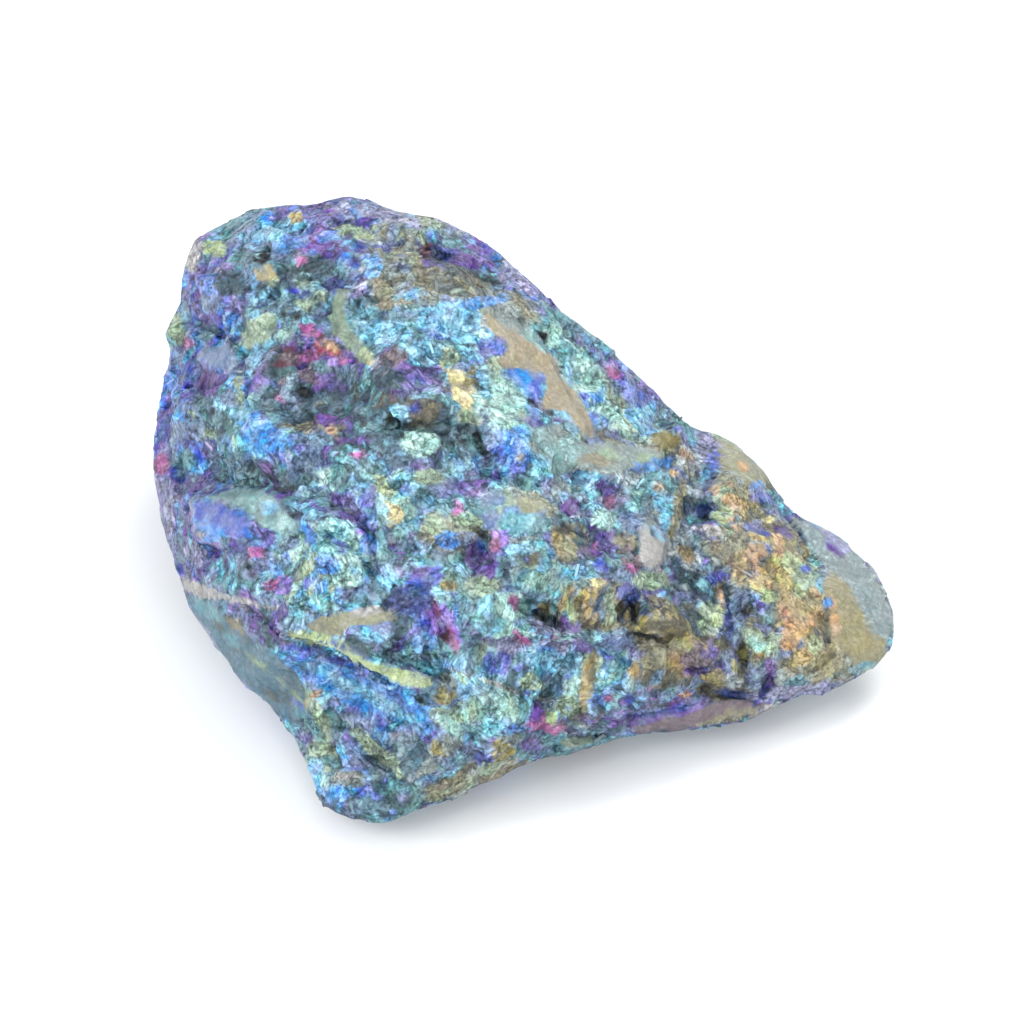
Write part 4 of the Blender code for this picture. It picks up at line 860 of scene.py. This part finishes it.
def new_tree(name, kind, inputs, outputs):
    """A node group with these inputs, (name, socket kind, value) each, and outputs, (name, socket
    kind) each."""
    tree = bpy.data.node_groups.new(name, kind)
    for label, socket, value in inputs:
        made = tree.interface.new_socket(label, in_out="INPUT", socket_type="NodeSocket" + socket)
        if value is not None:
            made.default_value = value
    for label, socket in outputs:
        tree.interface.new_socket(label, in_out="OUTPUT", socket_type="NodeSocket" + socket)
    return tree


class Graph:
    """Short ways to add nodes to a tree."""

    def __init__(self, tree):
        self.tree = tree

    def add(self, kind, inputs=(), **settings):
        node = self.tree.nodes.new(kind)
        for name, value in settings.items():
            setattr(node, name, value)
        for key, value in dict(inputs).items():
            if isinstance(value, bpy.types.NodeSocket):
                self.tree.links.new(value, node.inputs[key])
            else:
                node.inputs[key].default_value = value
        return node

    def math(self, operation, *values):
        return self.add("ShaderNodeMath", enumerate(values), operation=operation).outputs[0]

    def vector(self, operation, *values):
        keys = ("Vector", "Scale") if operation == "SCALE" else range(len(values))
        node = self.add("ShaderNodeVectorMath", operation=operation)
        for key, value in zip(keys, values):
            if isinstance(value, bpy.types.NodeSocket):
                self.tree.links.new(value, node.inputs[key])
            else:
                node.inputs[key].default_value = value
        return node.outputs["Value" if operation == "DOT_PRODUCT" else "Vector"]

    def product(self, first, *others):
        for other in others:
            first = self.math("MULTIPLY", first, other)
        return first

    def scaled(self, vector, factor):
        return self.vector("SCALE", vector, factor)

    def from_middle(self, colour):
        """A random colour as a vector that points anywhere round zero."""
        return self.vector("SUBTRACT", colour, MIDDLE)

    def centred(self, value, reach):
        """A random value from 0 to 1 as one from minus half the reach to half of it."""
        return self.math("MULTIPLY_ADD", value, reach, -reach / 2)

    def cells(self, place, size, feature="F1"):
        inputs = {"Vector": place, "Scale": 1 / size}
        return self.add("ShaderNodeTexVoronoi", inputs, voronoi_dimensions="3D", feature=feature).outputs

    def squeezed(self, place, way, stretch):
        """The place drawn together along a way, so that cells found there come out stretched."""
        along = self.math("MULTIPLY", self.vector("DOT_PRODUCT", place, way), 1 - 1 / stretch)
        return self.vector("SUBTRACT", place, self.scaled(way, along))

    def noise(self, place, size, detail, roughness=0.5):
        inputs = {"Vector": place, "Scale": 1 / size, "Detail": detail, "Roughness": roughness}
        return self.add("ShaderNodeTexNoise", inputs).outputs

    def parts(self, vector):
        return list(self.add("ShaderNodeSeparateXYZ", {0: vector}).outputs)

    def remap(self, value, low, high, start, end):
        inputs = {"Value": value, 1: low, 2: high, 3: start, 4: end}
        return self.add("ShaderNodeMapRange", inputs, clamp=True).outputs[0]

    def between(self, value, ends):
        """A random value from 0 to 1 as one between two ends."""
        return self.remap(value, 0.0, 1.0, *ends)

    def mix(self, share, a, b):
        return self.add("ShaderNodeMix", {0: share, 6: a, 7: b}, data_type="RGBA").outputs[2]

    def choose(self, share, a, b):
        return self.add("ShaderNodeMix", {0: share, 2: a, 3: b}, data_type="FLOAT").outputs[0]

    def attribute(self, name, output="Fac"):
        """What a material reads from the mesh."""
        return self.add("ShaderNodeAttribute", attribute_name=name).outputs[output]

    def named(self, name, kind="FLOAT"):
        """What a geometry tree reads from the mesh."""
        return self.add("GeometryNodeInputNamedAttribute", {"Name": name}, data_type=kind).outputs[0]

    def kept(self, geometry, name, value, kind, domain="POINT"):
        """The geometry with a value stored on it."""
        inputs = {"Geometry": geometry, "Name": name, "Value": value}
        return self.add("GeometryNodeStoreNamedAttribute", inputs, data_type=kind, domain=domain).outputs[0]

    def random(self, seed, ends):
        inputs = {2: ends[0], 3: ends[1], "Seed": seed}
        return self.add("FunctionNodeRandomValue", inputs, data_type="FLOAT").outputs[1]


def crystals(graph, place, upright):
    """Domains of the ore, the clusters in them and the blades in those, at a place in mm. upright
    is 1 where the blades stand as fibres."""
    bend = graph.from_middle(graph.noise(place, WARP_SIZE, detail=1.0)["Color"])
    jag = graph.from_middle(graph.noise(place, JAG_SIZE, detail=2.0)["Color"])
    jagged = graph.vector("ADD", place, graph.scaled(jag, JAG_REACH))
    at = graph.vector("ADD", jagged, graph.scaled(bend, WARP_REACH))
    domain = graph.cells(at, DOMAIN_SIZE)
    lean = graph.from_middle(domain["Color"])
    stand = graph.scaled(FIBRE_WAY, graph.math("MULTIPLY", upright, FIBRE_PULL))
    way = graph.vector("NORMALIZE", graph.vector("ADD", lean, stand))
    among = graph.squeezed(jagged, way, CLUSTER_STRETCH)
    cluster = graph.cells(among, CLUSTER_SIZE)
    own = graph.from_middle(cluster["Color"])
    own_way = graph.vector("NORMALIZE", graph.vector("ADD", way, graph.scaled(own, CLUSTER_TURN)))
    within = graph.squeezed(jagged, own_way, BLADE_STRETCH)
    blade = graph.cells(within, BLADE_WIDTH)
    tip = graph.from_middle(blade["Color"])
    heights = []
    for cell, slope, where, tilt, step in (
        (domain, lean, at, DOMAIN_TILT, DOMAIN_STEP),
        (cluster, own, among, CLUSTER_TILT, CLUSTER_STEP),
        (blade, tip, within, BLADE_TILT, BLADE_STEP),
    ):
        across = graph.vector("SUBTRACT", where, cell["Position"])
        leaning = graph.math("MULTIPLY", graph.vector("DOT_PRODUCT", slope, across), tilt)
        heights.append(graph.math("MULTIPLY_ADD", graph.parts(slope)[2], step, leaning))
    return {
        "domain": domain["Color"],
        "cluster": cluster["Color"],
        "blade": blade["Color"],
        "broad": graph.math("ADD", heights[0], heights[1]),
        "fine": heights[2],
        "among": among,
        "own_way": own_way,
        "jagged": jagged,
        "lively": graph.remap(graph.parts(domain["Color"])[0], *LIVELY),
    }


def base_mesh():
    """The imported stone, its corners merged and its surface cut fine."""
    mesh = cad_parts[NODE].data.copy()
    work = bmesh.new()
    work.from_mesh(mesh)
    bmesh.ops.remove_doubles(work, verts=work.verts, dist=WELD)
    work.to_mesh(mesh)
    work.free()
    for layer in list(mesh.attributes):
        if not layer.is_internal and not layer.is_required and layer.domain == "CORNER":
            mesh.attributes.remove(layer)
    fine = through_modifier("fine", mesh, "REMESH", mode="VOXEL", voxel_size=FINE_VOXEL)
    points = coordinates(fine)
    softened = around(points, edge_ends(fine), *BASE_SOFTENING)
    softened[:, 2] = np.where(points[:, 2] < SOLE_LIFT * MM, points[:, 2], softened[:, 2])
    move_to(fine, softened)
    return fine


def calm_faces(spots, facing, sole):
    """How smooth the stone is at each point: 1 on its sole and on smooth faces, 0 on crystals."""
    calm = sole.copy()
    for oval in SMOOTH:
        calm = np.maximum(calm, in_oval(spots, oval, *SMOOTH_EDGE) * facing)
    for _, smoothness, outline in FACETS:
        begin = rise(in_outline(spots, outline) / FACET_FADE + 0.5)
        calm = np.maximum(calm, smoothness * begin * facing)
    return calm


def cut_cracks(mesh, spots, facing):
    """Cracks and pits sunk into the side that the photo shows."""
    sink = np.zeros(len(spots))
    for depth, half_width, line in CRACKS:
        distance, fade = from_line(spots, line)
        sink = np.maximum(sink, depth * rise(CRACK_REACH - distance / half_width) * fade)
    for depth, *oval in PITS:
        sink = np.maximum(sink, depth * in_oval(spots, oval, *PIT_EDGE))
    points = coordinates(mesh)
    move_to(mesh, points - normals(mesh) * (sink * facing * MM)[:, None])


def relief_tree():
    """Raises the crystal domains, clusters and blades out of the fine surface, and keeps the
    place in mm that each vertex had before."""
    inputs = (("Geometry", "Geometry", None), ("Amount", "Float", 1.0))
    tree = new_tree("crystal_relief", "GeometryNodeTree", inputs, (("Geometry", "Geometry"),))
    graph = Graph(tree)
    source = graph.add("NodeGroupInput").outputs
    place = graph.scaled(graph.add("GeometryNodeInputPosition").outputs[0], 1 / MM)
    made = crystals(graph, place, graph.named("upright"))
    geometry = graph.kept(source["Geometry"], "rest", place, "FLOAT_VECTOR")
    height = graph.math("MULTIPLY_ADD", made["fine"], made["lively"], made["broad"])
    height = graph.product(height, graph.named("rough"), source["Amount"], MM)
    offset = graph.scaled(graph.named("outward", "FLOAT_VECTOR"), height)
    moved = graph.add("GeometryNodeSetPosition", {"Geometry": geometry, "Offset": offset})
    tree.links.new(moved.outputs[0], graph.add("NodeGroupOutput").inputs[0])
    return tree


def raised_stone(reference, box):
    """The stone's own mesh, with its cracks and pits cut and its crystals raised, then thinned."""
    mesh = base_mesh()
    points = coordinates(mesh)
    towards = along(normals(mesh), BACK)
    facing = rise(towards * FACING_GAIN + FACING_START)
    inner = 1 - rise(1 - np.abs(towards) / RIM)
    sole = 1 - rise(points[:, 2] / MM - SOLE_HEIGHT)
    spots = view_spots(points, reference)
    calm = calm_faces(spots, facing, sole)
    upright = np.zeros(len(points))
    for oval in FIBRES:
        upright = np.maximum(upright, in_oval(spots, oval, *FIBRE_EDGE) * facing)
    cut_cracks(mesh, spots, facing)
    kept = {
        "outward": normals(mesh), "calm": calm, "upright": upright,
        "facing": facing, "inner": inner, "sole": sole,
        "rough": (1 - CALM_RELIEF * calm) * (RIM_RELIEF + (1 - RIM_RELIEF) * inner),
    }
    for name, values in kept.items():
        store(mesh, name, values)
    mesh = through_tree("relief", mesh, relief_tree(), Amount=1.0)
    points = keep_inside(coordinates(mesh), box)
    flat = sole > FLAT_SOLE
    points[:, 2] = np.where(flat, np.minimum(points[:, 2], SOLE_LIFT * MM), points[:, 2])
    move_to(mesh, points)
    share = MOST_TRIANGLES / (2 * len(mesh.polygons))
    mesh = through_modifier("stone", mesh, "DECIMATE", ratio=min(1.0, share))
    move_to(mesh, keep_inside(coordinates(mesh), box))
    return mesh


def paint(mesh, rest, spots, facing):
    """Keeps on each vertex the five tints of its zone, and how far it lies inside the nearest
    large and small patch in mm. Sides away from the photo take their zones from loose noise."""
    wobbly = spots + shaken(rest, *ZONE_SHAKE)[:, :2]
    wide = shaken(rest, *HIDDEN_SHAKE)
    mixes = list(MIXES)
    zone = np.full(len(spots), mixes.index(BACKGROUND_MIX))
    for axis, level, name in HIDDEN_MIXES:
        zone[(facing < FRONT) & (wide[:, axis] > level)] = mixes.index(name)
    for name, ovals in ZONES:
        for oval in ovals:
            zone[(from_oval(wobbly, *oval) < OVAL_REACH) & (facing >= FRONT)] = mixes.index(name)
    tints = np.array([[linear(TINTS[tint])[:3] for tint in MIXES[mix]] for mix in mixes])
    ends = edge_ends(mesh)
    for place in range(len(TINT_SHARES)):
        store(mesh, f"tint_{place}", around(tints[zone, place], ends, *ZONE_SOFTENING))
    shapes = []
    for name, ovals in PATCHES:
        for oval in ovals:
            narrow = min(oval[2:4])
            shapes.append((name, narrow, (OVAL_REACH - from_oval(spots, *oval)) * narrow))
    for name, _, outline in FACETS:
        depth = in_outline(spots, outline)
        shapes.append((name, depth.max(), depth))
    for layer, large in (("large", True), ("small", False)):
        inside = np.full(len(spots), -FAR)
        tint = np.zeros((len(spots), 3))
        for name, narrow, depth in shapes:
            if (narrow >= LARGE_PATCH) == large:
                closer = depth > inside
                inside[closer] = depth[closer]
                tint[closer] = linear(TINTS[name])[:3]
        store(mesh, f"{layer}_inside", np.where(facing > PATCH_FRONT, inside, -FAR))
        store(mesh, f"{layer}_tint", tint)


def hollows(mesh):
    """0 on open ground to 1 deep in a hollow, and below 0 on ridges, from how far the surface lies
    under its surroundings."""
    points, out, ends = coordinates(mesh), normals(mesh), edge_ends(mesh)
    total = np.zeros(len(points))
    smooth = points
    for rounds, depth in HOLLOW_REACHES:
        smooth = around(smooth, ends, rounds, HOLLOW_SHARE)
        total += ((smooth - points) * out).sum(axis=1) / (depth * MM)
    return np.clip(total / len(HOLLOW_REACHES), -1, 1)


def plate_tree(material):
    """Thin crystal laths that lie nearly flat in the surface, along the blades of their domain."""
    sizes = (("Length", 1.0), ("Width", 1.0), ("Thickness", 1.0), ("Lean", 0.0), ("Sunk", 0.0))
    inputs = (("Geometry", "Geometry", None), ("Density", "Float", 0.0))
    inputs += tuple((name, "Float", value) for name, value in sizes) + (("Seed", "Int", 0),)
    tree = new_tree("crystal_plates", "GeometryNodeTree", inputs, (("Geometry", "Geometry"),))
    graph = Graph(tree)
    source = graph.add("NodeGroupInput").outputs
    density = graph.product(source["Density"], graph.named("plates"), PER_SQUARE_METRE)
    scattered = graph.add(
        "GeometryNodeDistributePointsOnFaces",
        {"Mesh": source["Geometry"], "Density": density, "Seed": source["Seed"]},
        distribute_method="RANDOM",
    ).outputs
    drift = graph.add(
        "FunctionNodeRandomValue", {0: (-1.0,) * 3, 1: (1.0,) * 3, "Seed": SEED + 1}, data_type="FLOAT_VECTOR"
    ).outputs[0]
    geometry = graph.kept(scattered["Points"], "plate_out", scattered["Normal"], "FLOAT_VECTOR")
    outward = graph.named("plate_out", "FLOAT_VECTOR")
    made = crystals(graph, graph.named("rest", "FLOAT_VECTOR"), graph.named("upright"))
    aim = graph.vector("ADD", made["own_way"], graph.scaled(drift, PLATE_DRIFT))
    standing = graph.scaled(outward, graph.vector("DOT_PRODUCT", aim, outward))
    level = graph.vector("NORMALIZE", graph.vector("SUBTRACT", aim, standing))
    leaning = graph.vector("ADD", outward, graph.scaled(drift, source["Lean"]))
    along = graph.add("FunctionNodeAlignRotationToVector", {"Vector": level}, axis="X").outputs[0]
    turned = graph.add(
        "FunctionNodeAlignRotationToVector", {"Rotation": along, "Vector": leaning}, axis="Z", pivot_axis="X"
    ).outputs[0]
    grown = graph.random(SEED + 2, PLATE_SIZES)
    long, wide = (graph.product(source[side], grown) for side in ("Length", "Width"))
    size = graph.add("ShaderNodeCombineXYZ", {0: long, 1: wide, 2: source["Thickness"]}).outputs[0]
    plate = graph.add("GeometryNodeMeshCube", {"Size": (MM, MM, MM)}).outputs["Mesh"]
    sunk = graph.scaled(outward, graph.math("MULTIPLY", source["Sunk"], -MM))
    lowered = graph.add("GeometryNodeSetPosition", {"Geometry": geometry, "Offset": sunk}).outputs[0]
    laying = {"Points": lowered, "Instance": plate, "Rotation": turned, "Scale": size}
    laid = graph.add("GeometryNodeInstanceOnPoints", laying).outputs[0]
    chance = graph.random(SEED + 3, (0.0, 1.0))
    marked = graph.kept(laid, "plate_chance", chance, "FLOAT", "INSTANCE")
    real = graph.add("GeometryNodeRealizeInstances", {"Geometry": marked}).outputs[0]
    done = graph.add("GeometryNodeSetMaterial", {"Geometry": real, "Material": material})
    tree.links.new(done.outputs[0], graph.add("NodeGroupOutput").inputs[0])
    return tree


def tarnish_group():
    """A crystal's colour: one of the five tints of its zone, or that of the patch it lies in,
    turned a little and then lightened or darkened. Film is 1 on bright tarnish and 0 on bare
    stone."""
    starts = (("Pick", 0.0), ("Shift", 0.0), ("Turn", 0.0), ("Richness", 1.0), ("Shade", 1.0))
    inputs = tuple((name, "Float", value) for name, value in starts)
    tree = new_tree("tarnish", "ShaderNodeTree", inputs, (("Color", "Color"), ("Film", "Float")))
    graph = Graph(tree)
    source = graph.add("NodeGroupInput").outputs
    colour = graph.attribute("tint_0", "Vector")
    for place in range(1, len(TINT_SHARES)):
        past = graph.math("GREATER_THAN", source["Pick"], sum(TINT_SHARES[:place]))
        colour = graph.mix(past, colour, graph.attribute(f"tint_{place}", "Vector"))
    turn = source["Turn"]
    for layer in ("large", "small"):
        inside = graph.math("ADD", graph.attribute(f"{layer}_inside"), source["Shift"])
        share = graph.remap(inside, -PATCH_EDGE, PATCH_EDGE, 0.0, 1.0)
        turn = graph.math("MULTIPLY", turn, graph.math("MULTIPLY_ADD", share, -PATCH_HOLD, 1.0))
        colour = graph.mix(share, colour, graph.attribute(f"{layer}_tint", "Vector"))
    red, _, blue = graph.parts(colour)
    bluer = graph.math("DIVIDE", graph.math("SUBTRACT", blue, red), graph.math("MAXIMUM", blue, red))
    hue = graph.math("ADD", turn, 0.5)
    inputs = {"Hue": hue, "Saturation": source["Richness"], "Color": colour}
    turned = graph.add("ShaderNodeHueSaturation", inputs).outputs[0]
    # Darkening from random tone and from painted shade alike goes towards one dark colour. Above 1 the colour
    # is lightened, which carries painted light too.
    shaded = graph.mix(graph.between(source["Shade"], (0.0, 1.0)), linear(DARK_TONE_AND_SHADE_COLOUR), turned)
    shaded = graph.scaled(shaded, graph.math("MAXIMUM", source["Shade"], 1.0))
    ends = graph.add("NodeGroupOutput").inputs
    tree.links.new(shaded, ends["Color"])
    tree.links.new(graph.remap(bluer, *FILM_BLUENESS), ends["Film"])
    return tree


def new_material(name):
    material = bpy.data.materials.new(name)
    material.use_nodes = True
    return material, Graph(material.node_tree), material.node_tree.nodes["Principled BSDF"]


def random_parts(graph, made):
    """Three random numbers each for a domain, a cluster and a blade."""
    return [graph.parts(made[name]) for name in ("domain", "cluster", "blade")]


def picked_tint(graph, domain, cluster, blade):
    """The random number that a crystal's tint is taken by: its cluster's, its domain's or its own."""
    pick = graph.choose(graph.math("LESS_THAN", cluster[1], SHARED_CLUSTERS), cluster[0], domain[1])
    return graph.choose(graph.math("LESS_THAN", blade[0], BLADE_PICKS), pick, blade[1])


def film_colour(graph, shader, tarnish, values):
    """Colours a shader by the tarnish group with these values, and gives how bright the film is."""
    group = graph.add("ShaderNodeGroup", values, node_tree=tarnish)
    graph.tree.links.new(group.outputs["Color"], shader.inputs["Base Color"])
    return group.outputs["Film"]


def ore_material(tarnish):
    material, graph, shader = new_material(SLOT)
    links = graph.tree.links
    place = graph.attribute("rest", "Vector")
    speck = graph.add("ShaderNodeTexWhiteNoise", {"Vector": graph.scaled(place, SPECKS_PER_MM)})
    speck = graph.from_middle(speck.outputs["Color"])
    fuzzy = graph.vector("ADD", place, graph.scaled(speck, FUZZ))
    fuzzier = graph.vector("ADD", place, graph.scaled(speck, COLOUR_FUZZ))
    upright = graph.attribute("upright")
    made, blurred = crystals(graph, fuzzy, upright), crystals(graph, fuzzier, upright)
    domain, cluster, blade = random_parts(graph, made)
    blurred_domain, blurred_cluster, blurred_blade = random_parts(graph, blurred)
    grain = graph.parts(graph.cells(fuzzy, GRAIN_SIZE)["Color"])
    mottle = graph.parts(graph.noise(fuzzy, MOTTLE_SIZE, detail=1.5)["Color"])
    fine_relief = graph.noise(place, FINE_RELIEF_SIZE, detail=5.0, roughness=0.72)[0]
    thin = graph.squeezed(made["jagged"], made["own_way"], STREAK_STRETCH)
    streak = graph.noise(thin, STREAK_WIDTH, detail=2.0)[0]
    seam = graph.cells(made["among"], CLUSTER_SIZE, "DISTANCE_TO_EDGE")["Distance"]
    split = graph.noise(made["jagged"], CRACK_SIZE, detail=3.0, roughness=0.6)[0]
    split = graph.math("ABSOLUTE", graph.math("SUBTRACT", split, 0.5))
    calm = graph.attribute("calm")
    loud = graph.math("MULTIPLY_ADD", calm, -CALM_QUIET, 1.0)
    depth = graph.attribute("hollow")

    # Where a patch's edge runs, with gaps in it away from calm faces, and how the hue turns
    shift = graph.centred(blurred_cluster[2], CLUSTER_SHIFT)
    for value, reach in ((blurred_blade[2], BLADE_SHIFT), (mottle[2], MOTTLE_SHIFT)):
        shift = graph.math("ADD", shift, graph.centred(value, reach))
    gap = graph.math("LESS_THAN", blurred_blade[1], PATCH_GAPS)
    gap = graph.math("MULTIPLY", gap, graph.math("SUBTRACT", 1.0, calm))
    shift = graph.math("MULTIPLY_ADD", gap, GAP_SHIFT, graph.math("MULTIPLY", shift, loud))
    turn = graph.math(
        "ADD", graph.centred(mottle[0], MOTTLE_TURN), graph.centred(blurred_cluster[2], CRYSTAL_TURN)
    )

    # How light each crystal is at random, and over it the painted shade of seams, splits, dark specks and the
    # low spots of the fine relief, and glints
    seams = graph.choose(graph.remap(mottle[2], *SEAM_PLACES), 1.0, graph.remap(seam, *SEAM_SHADE))
    splits = graph.choose(graph.remap(mottle[1], *SPLIT_PLACES), 1.0, graph.remap(split, *SPLIT_SHADE))
    ridges = graph.math("MULTIPLY", graph.centred(streak, RIDGE_SHADES), made["lively"])
    shade = graph.product(
        graph.between(blade[2], BLADE_SHADES),
        graph.between(domain[2], DOMAIN_SHADES),
        graph.between(cluster[0], CLUSTER_SHADES),
        graph.between(grain[2], GRAIN_SHADES),
        graph.math("ADD", ridges, 1.0),
        seams,
        splits,
        graph.remap(grain[0], *SPECK_SHADE),
        graph.remap(grain[1], *GLINT_SHADE),
        graph.remap(fine_relief, *FINE_RELIEF_PAINTED_SHADE),
    )
    shade = graph.math("MULTIPLY_ADD", graph.math("SUBTRACT", shade, 1.0), loud, 1.0)
    # Calm faces a little darker, painted shade in hollows and painted light on ridges, and the whole stone
    # toned down
    shade = graph.product(
        shade,
        graph.math("MULTIPLY_ADD", calm, -CALM_DARKENING, 1.0),
        graph.remap(depth, *HOLLOW_PAINTED_SHADE),
        graph.remap(depth, *RIDGE_SHADE),
        WHOLE_SHADE,
    )
    film = film_colour(graph, shader, tarnish, {
        "Pick": picked_tint(graph, blurred_domain, blurred_cluster, blurred_blade),
        "Shift": shift,
        "Turn": graph.math("MULTIPLY", turn, loud),
        "Richness": graph.remap(mottle[1], *MOTTLE_RICHNESS),
        "Shade": shade,
    })
    links.new(graph.between(film, STONE_METAL), shader.inputs["Metallic"])
    gloss = graph.between(blade[0], STONE_ROUGHNESS)
    links.new(graph.math("MULTIPLY_ADD", film, FILM_ROUGHNESS, gloss), shader.inputs["Roughness"])

    # Fine facets: each cluster, blade and ripple leans its own way
    out = graph.add("ShaderNodeNewGeometry").outputs["Normal"]
    ripple = graph.noise(fuzzy, RIPPLE_SIZE, detail=3.0, roughness=0.7)["Color"]
    for cell, lean in ((made["cluster"], CLUSTER_LEAN), (made["blade"], BLADE_LEAN), (ripple, RIPPLE_LEAN)):
        slope = graph.scaled(graph.from_middle(cell), graph.math("MULTIPLY", loud, lean))
        out = graph.vector("ADD", out, slope)
    bump = graph.add("ShaderNodeBump", {
        "Strength": BUMP_STRENGTH,
        "Distance": MM,
        "Height": graph.math("MULTIPLY", fine_relief, graph.math("MULTIPLY", loud, FINE_RELIEF_BUMP)),
        "Normal": graph.vector("NORMALIZE", out),
    })
    links.new(bump.outputs[0], shader.inputs["Normal"])
    return material


def plate_material(tarnish):
    material, graph, shader = new_material("ore_plate")
    place = graph.attribute("rest", "Vector")
    made = crystals(graph, place, graph.attribute("upright"))
    mottle = graph.noise(place, PLATE_MOTTLE_SIZE, detail=4.0, roughness=0.7)[0]
    second = graph.math("FRACT", graph.math("MULTIPLY", graph.attribute("plate_chance"), SECOND_DRAW))
    film = film_colour(graph, shader, tarnish, {
        "Pick": picked_tint(graph, *random_parts(graph, made)),
        "Richness": PLATE_RICHNESS,
        "Turn": graph.centred(second, CRYSTAL_TURN),
        "Shade": graph.product(graph.between(second, PLATE_SHADES), graph.remap(mottle, *PLATE_MOTTLE_SHADE)),
    })
    graph.tree.links.new(graph.between(film, PLATE_METAL), shader.inputs["Metallic"])
    shader.inputs["Roughness"].default_value = PLATE_ROUGHNESS
    return material


def keep_inside(points, box):
    low, high = box
    return np.clip(points, np.array(low) + BOX_MARGIN, np.array(high) - BOX_MARGIN)


def table_and_light():
    """A pale floor, soft daylight from all round and three large soft lights."""
    bpy.ops.mesh.primitive_plane_add(size=FLOOR_SIZE)
    floor = bpy.context.object
    floor.name = "table"
    material, _, shader = new_material("pale_table")
    shader.inputs["Base Color"].default_value = FLOOR_COLOUR
    shader.inputs["Roughness"].default_value = FLOOR_ROUGHNESS
    shader.inputs["Specular IOR Level"].default_value = FLOOR_SPECULAR
    floor.data.materials.append(material)
    world = bpy.data.worlds.new("daylight")
    bpy.context.scene.world = world
    world.use_nodes = True
    background = world.node_tree.nodes["Background"]
    background.inputs["Color"].default_value = DAYLIGHT
    background.inputs["Strength"].default_value = 1.0
    for name, place, size, energy in LAMPS:
        lamp = bpy.data.lights.new(name, "AREA")
        lamp.energy = energy
        lamp.size = size
        holder = placed(name, lamp)
        holder.location = place
        holder.rotation_euler = (-Vector(place)).to_track_quat("-Z", "Y").to_euler()


def set_camera(reference):
    """Looks down as the photo does, with the stone in the same place in the frame."""
    shifts = (
        (PHOTO_MIDDLE[0] - (OUTLINE_LEFT + OUTLINE_RIGHT) / 2) * MM,
        (PHOTO_MIDDLE[1] - (OUTLINE_TOP + OUTLINE_BOTTOM) / 2) * MM,
        LENS_MM / SENSOR_MM * PHOTO_WIDTH * MM,
    )
    spot = np.zeros(3)
    for way, shift in zip((RIGHT, UP, BACK), shifts):
        reach = along(reference, way)
        spot += way * ((reach.min() + reach.max()) / 2 + shift)
    data = bpy.data.cameras.new("camera")
    data.lens = LENS_MM
    data.sensor_width = SENSOR_MM
    data.clip_end = FAR_CLIP
    camera = placed("camera", data)
    turn = Matrix((RIGHT, UP, BACK)).transposed().to_4x4()
    turn.translation = Vector(spot)
    camera.matrix_world = turn
    bpy.context.scene.camera = camera


def main():
    noise.seed_set(SEED)
    cad_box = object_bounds()
    reference = coordinates(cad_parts[NODE].data)
    mesh = raised_stone(reference, cad_box)
    rest = read_vector(mesh, "rest") * MM
    calm, facing, sole, inner = (read_number(mesh, name) for name in ("calm", "facing", "sole", "inner"))
    paint(mesh, rest, view_spots(rest, reference), facing)
    # How deep each point lies in a hollow. The material paints shade in hollows and light on ridges from it.
    deep = hollows(mesh)
    store(mesh, "hollow", deep)
    in_view = rise(inner * (1 + PLATE_RIM) - PLATE_RIM)
    store(mesh, "plates", rise(PLATE_CALM - calm) * (1 - sole) * rise(PLATE_DEPTH - deep) * in_view)
    mesh.polygons.foreach_set("use_smooth", [True] * len(mesh.polygons))

    tarnish = tarnish_group()
    mesh.materials.clear()
    mesh.materials.append(ore_material(tarnish))
    mesh.name = "stone"
    stone = placed("stone", mesh)
    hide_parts(NODE)
    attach(stone, "root")

    plates = through_tree("plates", mesh, plate_tree(plate_material(tarnish)), **PLATES)
    move_to(plates, keep_inside(coordinates(plates), cad_box))
    plates.polygons.foreach_set("use_smooth", [False] * len(plates.polygons))
    plates.name = "crystal_plates"
    flakes = placed("crystal_plates", plates)
    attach(flakes, "root")

    table_and_light()
    set_camera(reference)
    bpy.context.scene.view_settings.view_transform = "Standard"


main()
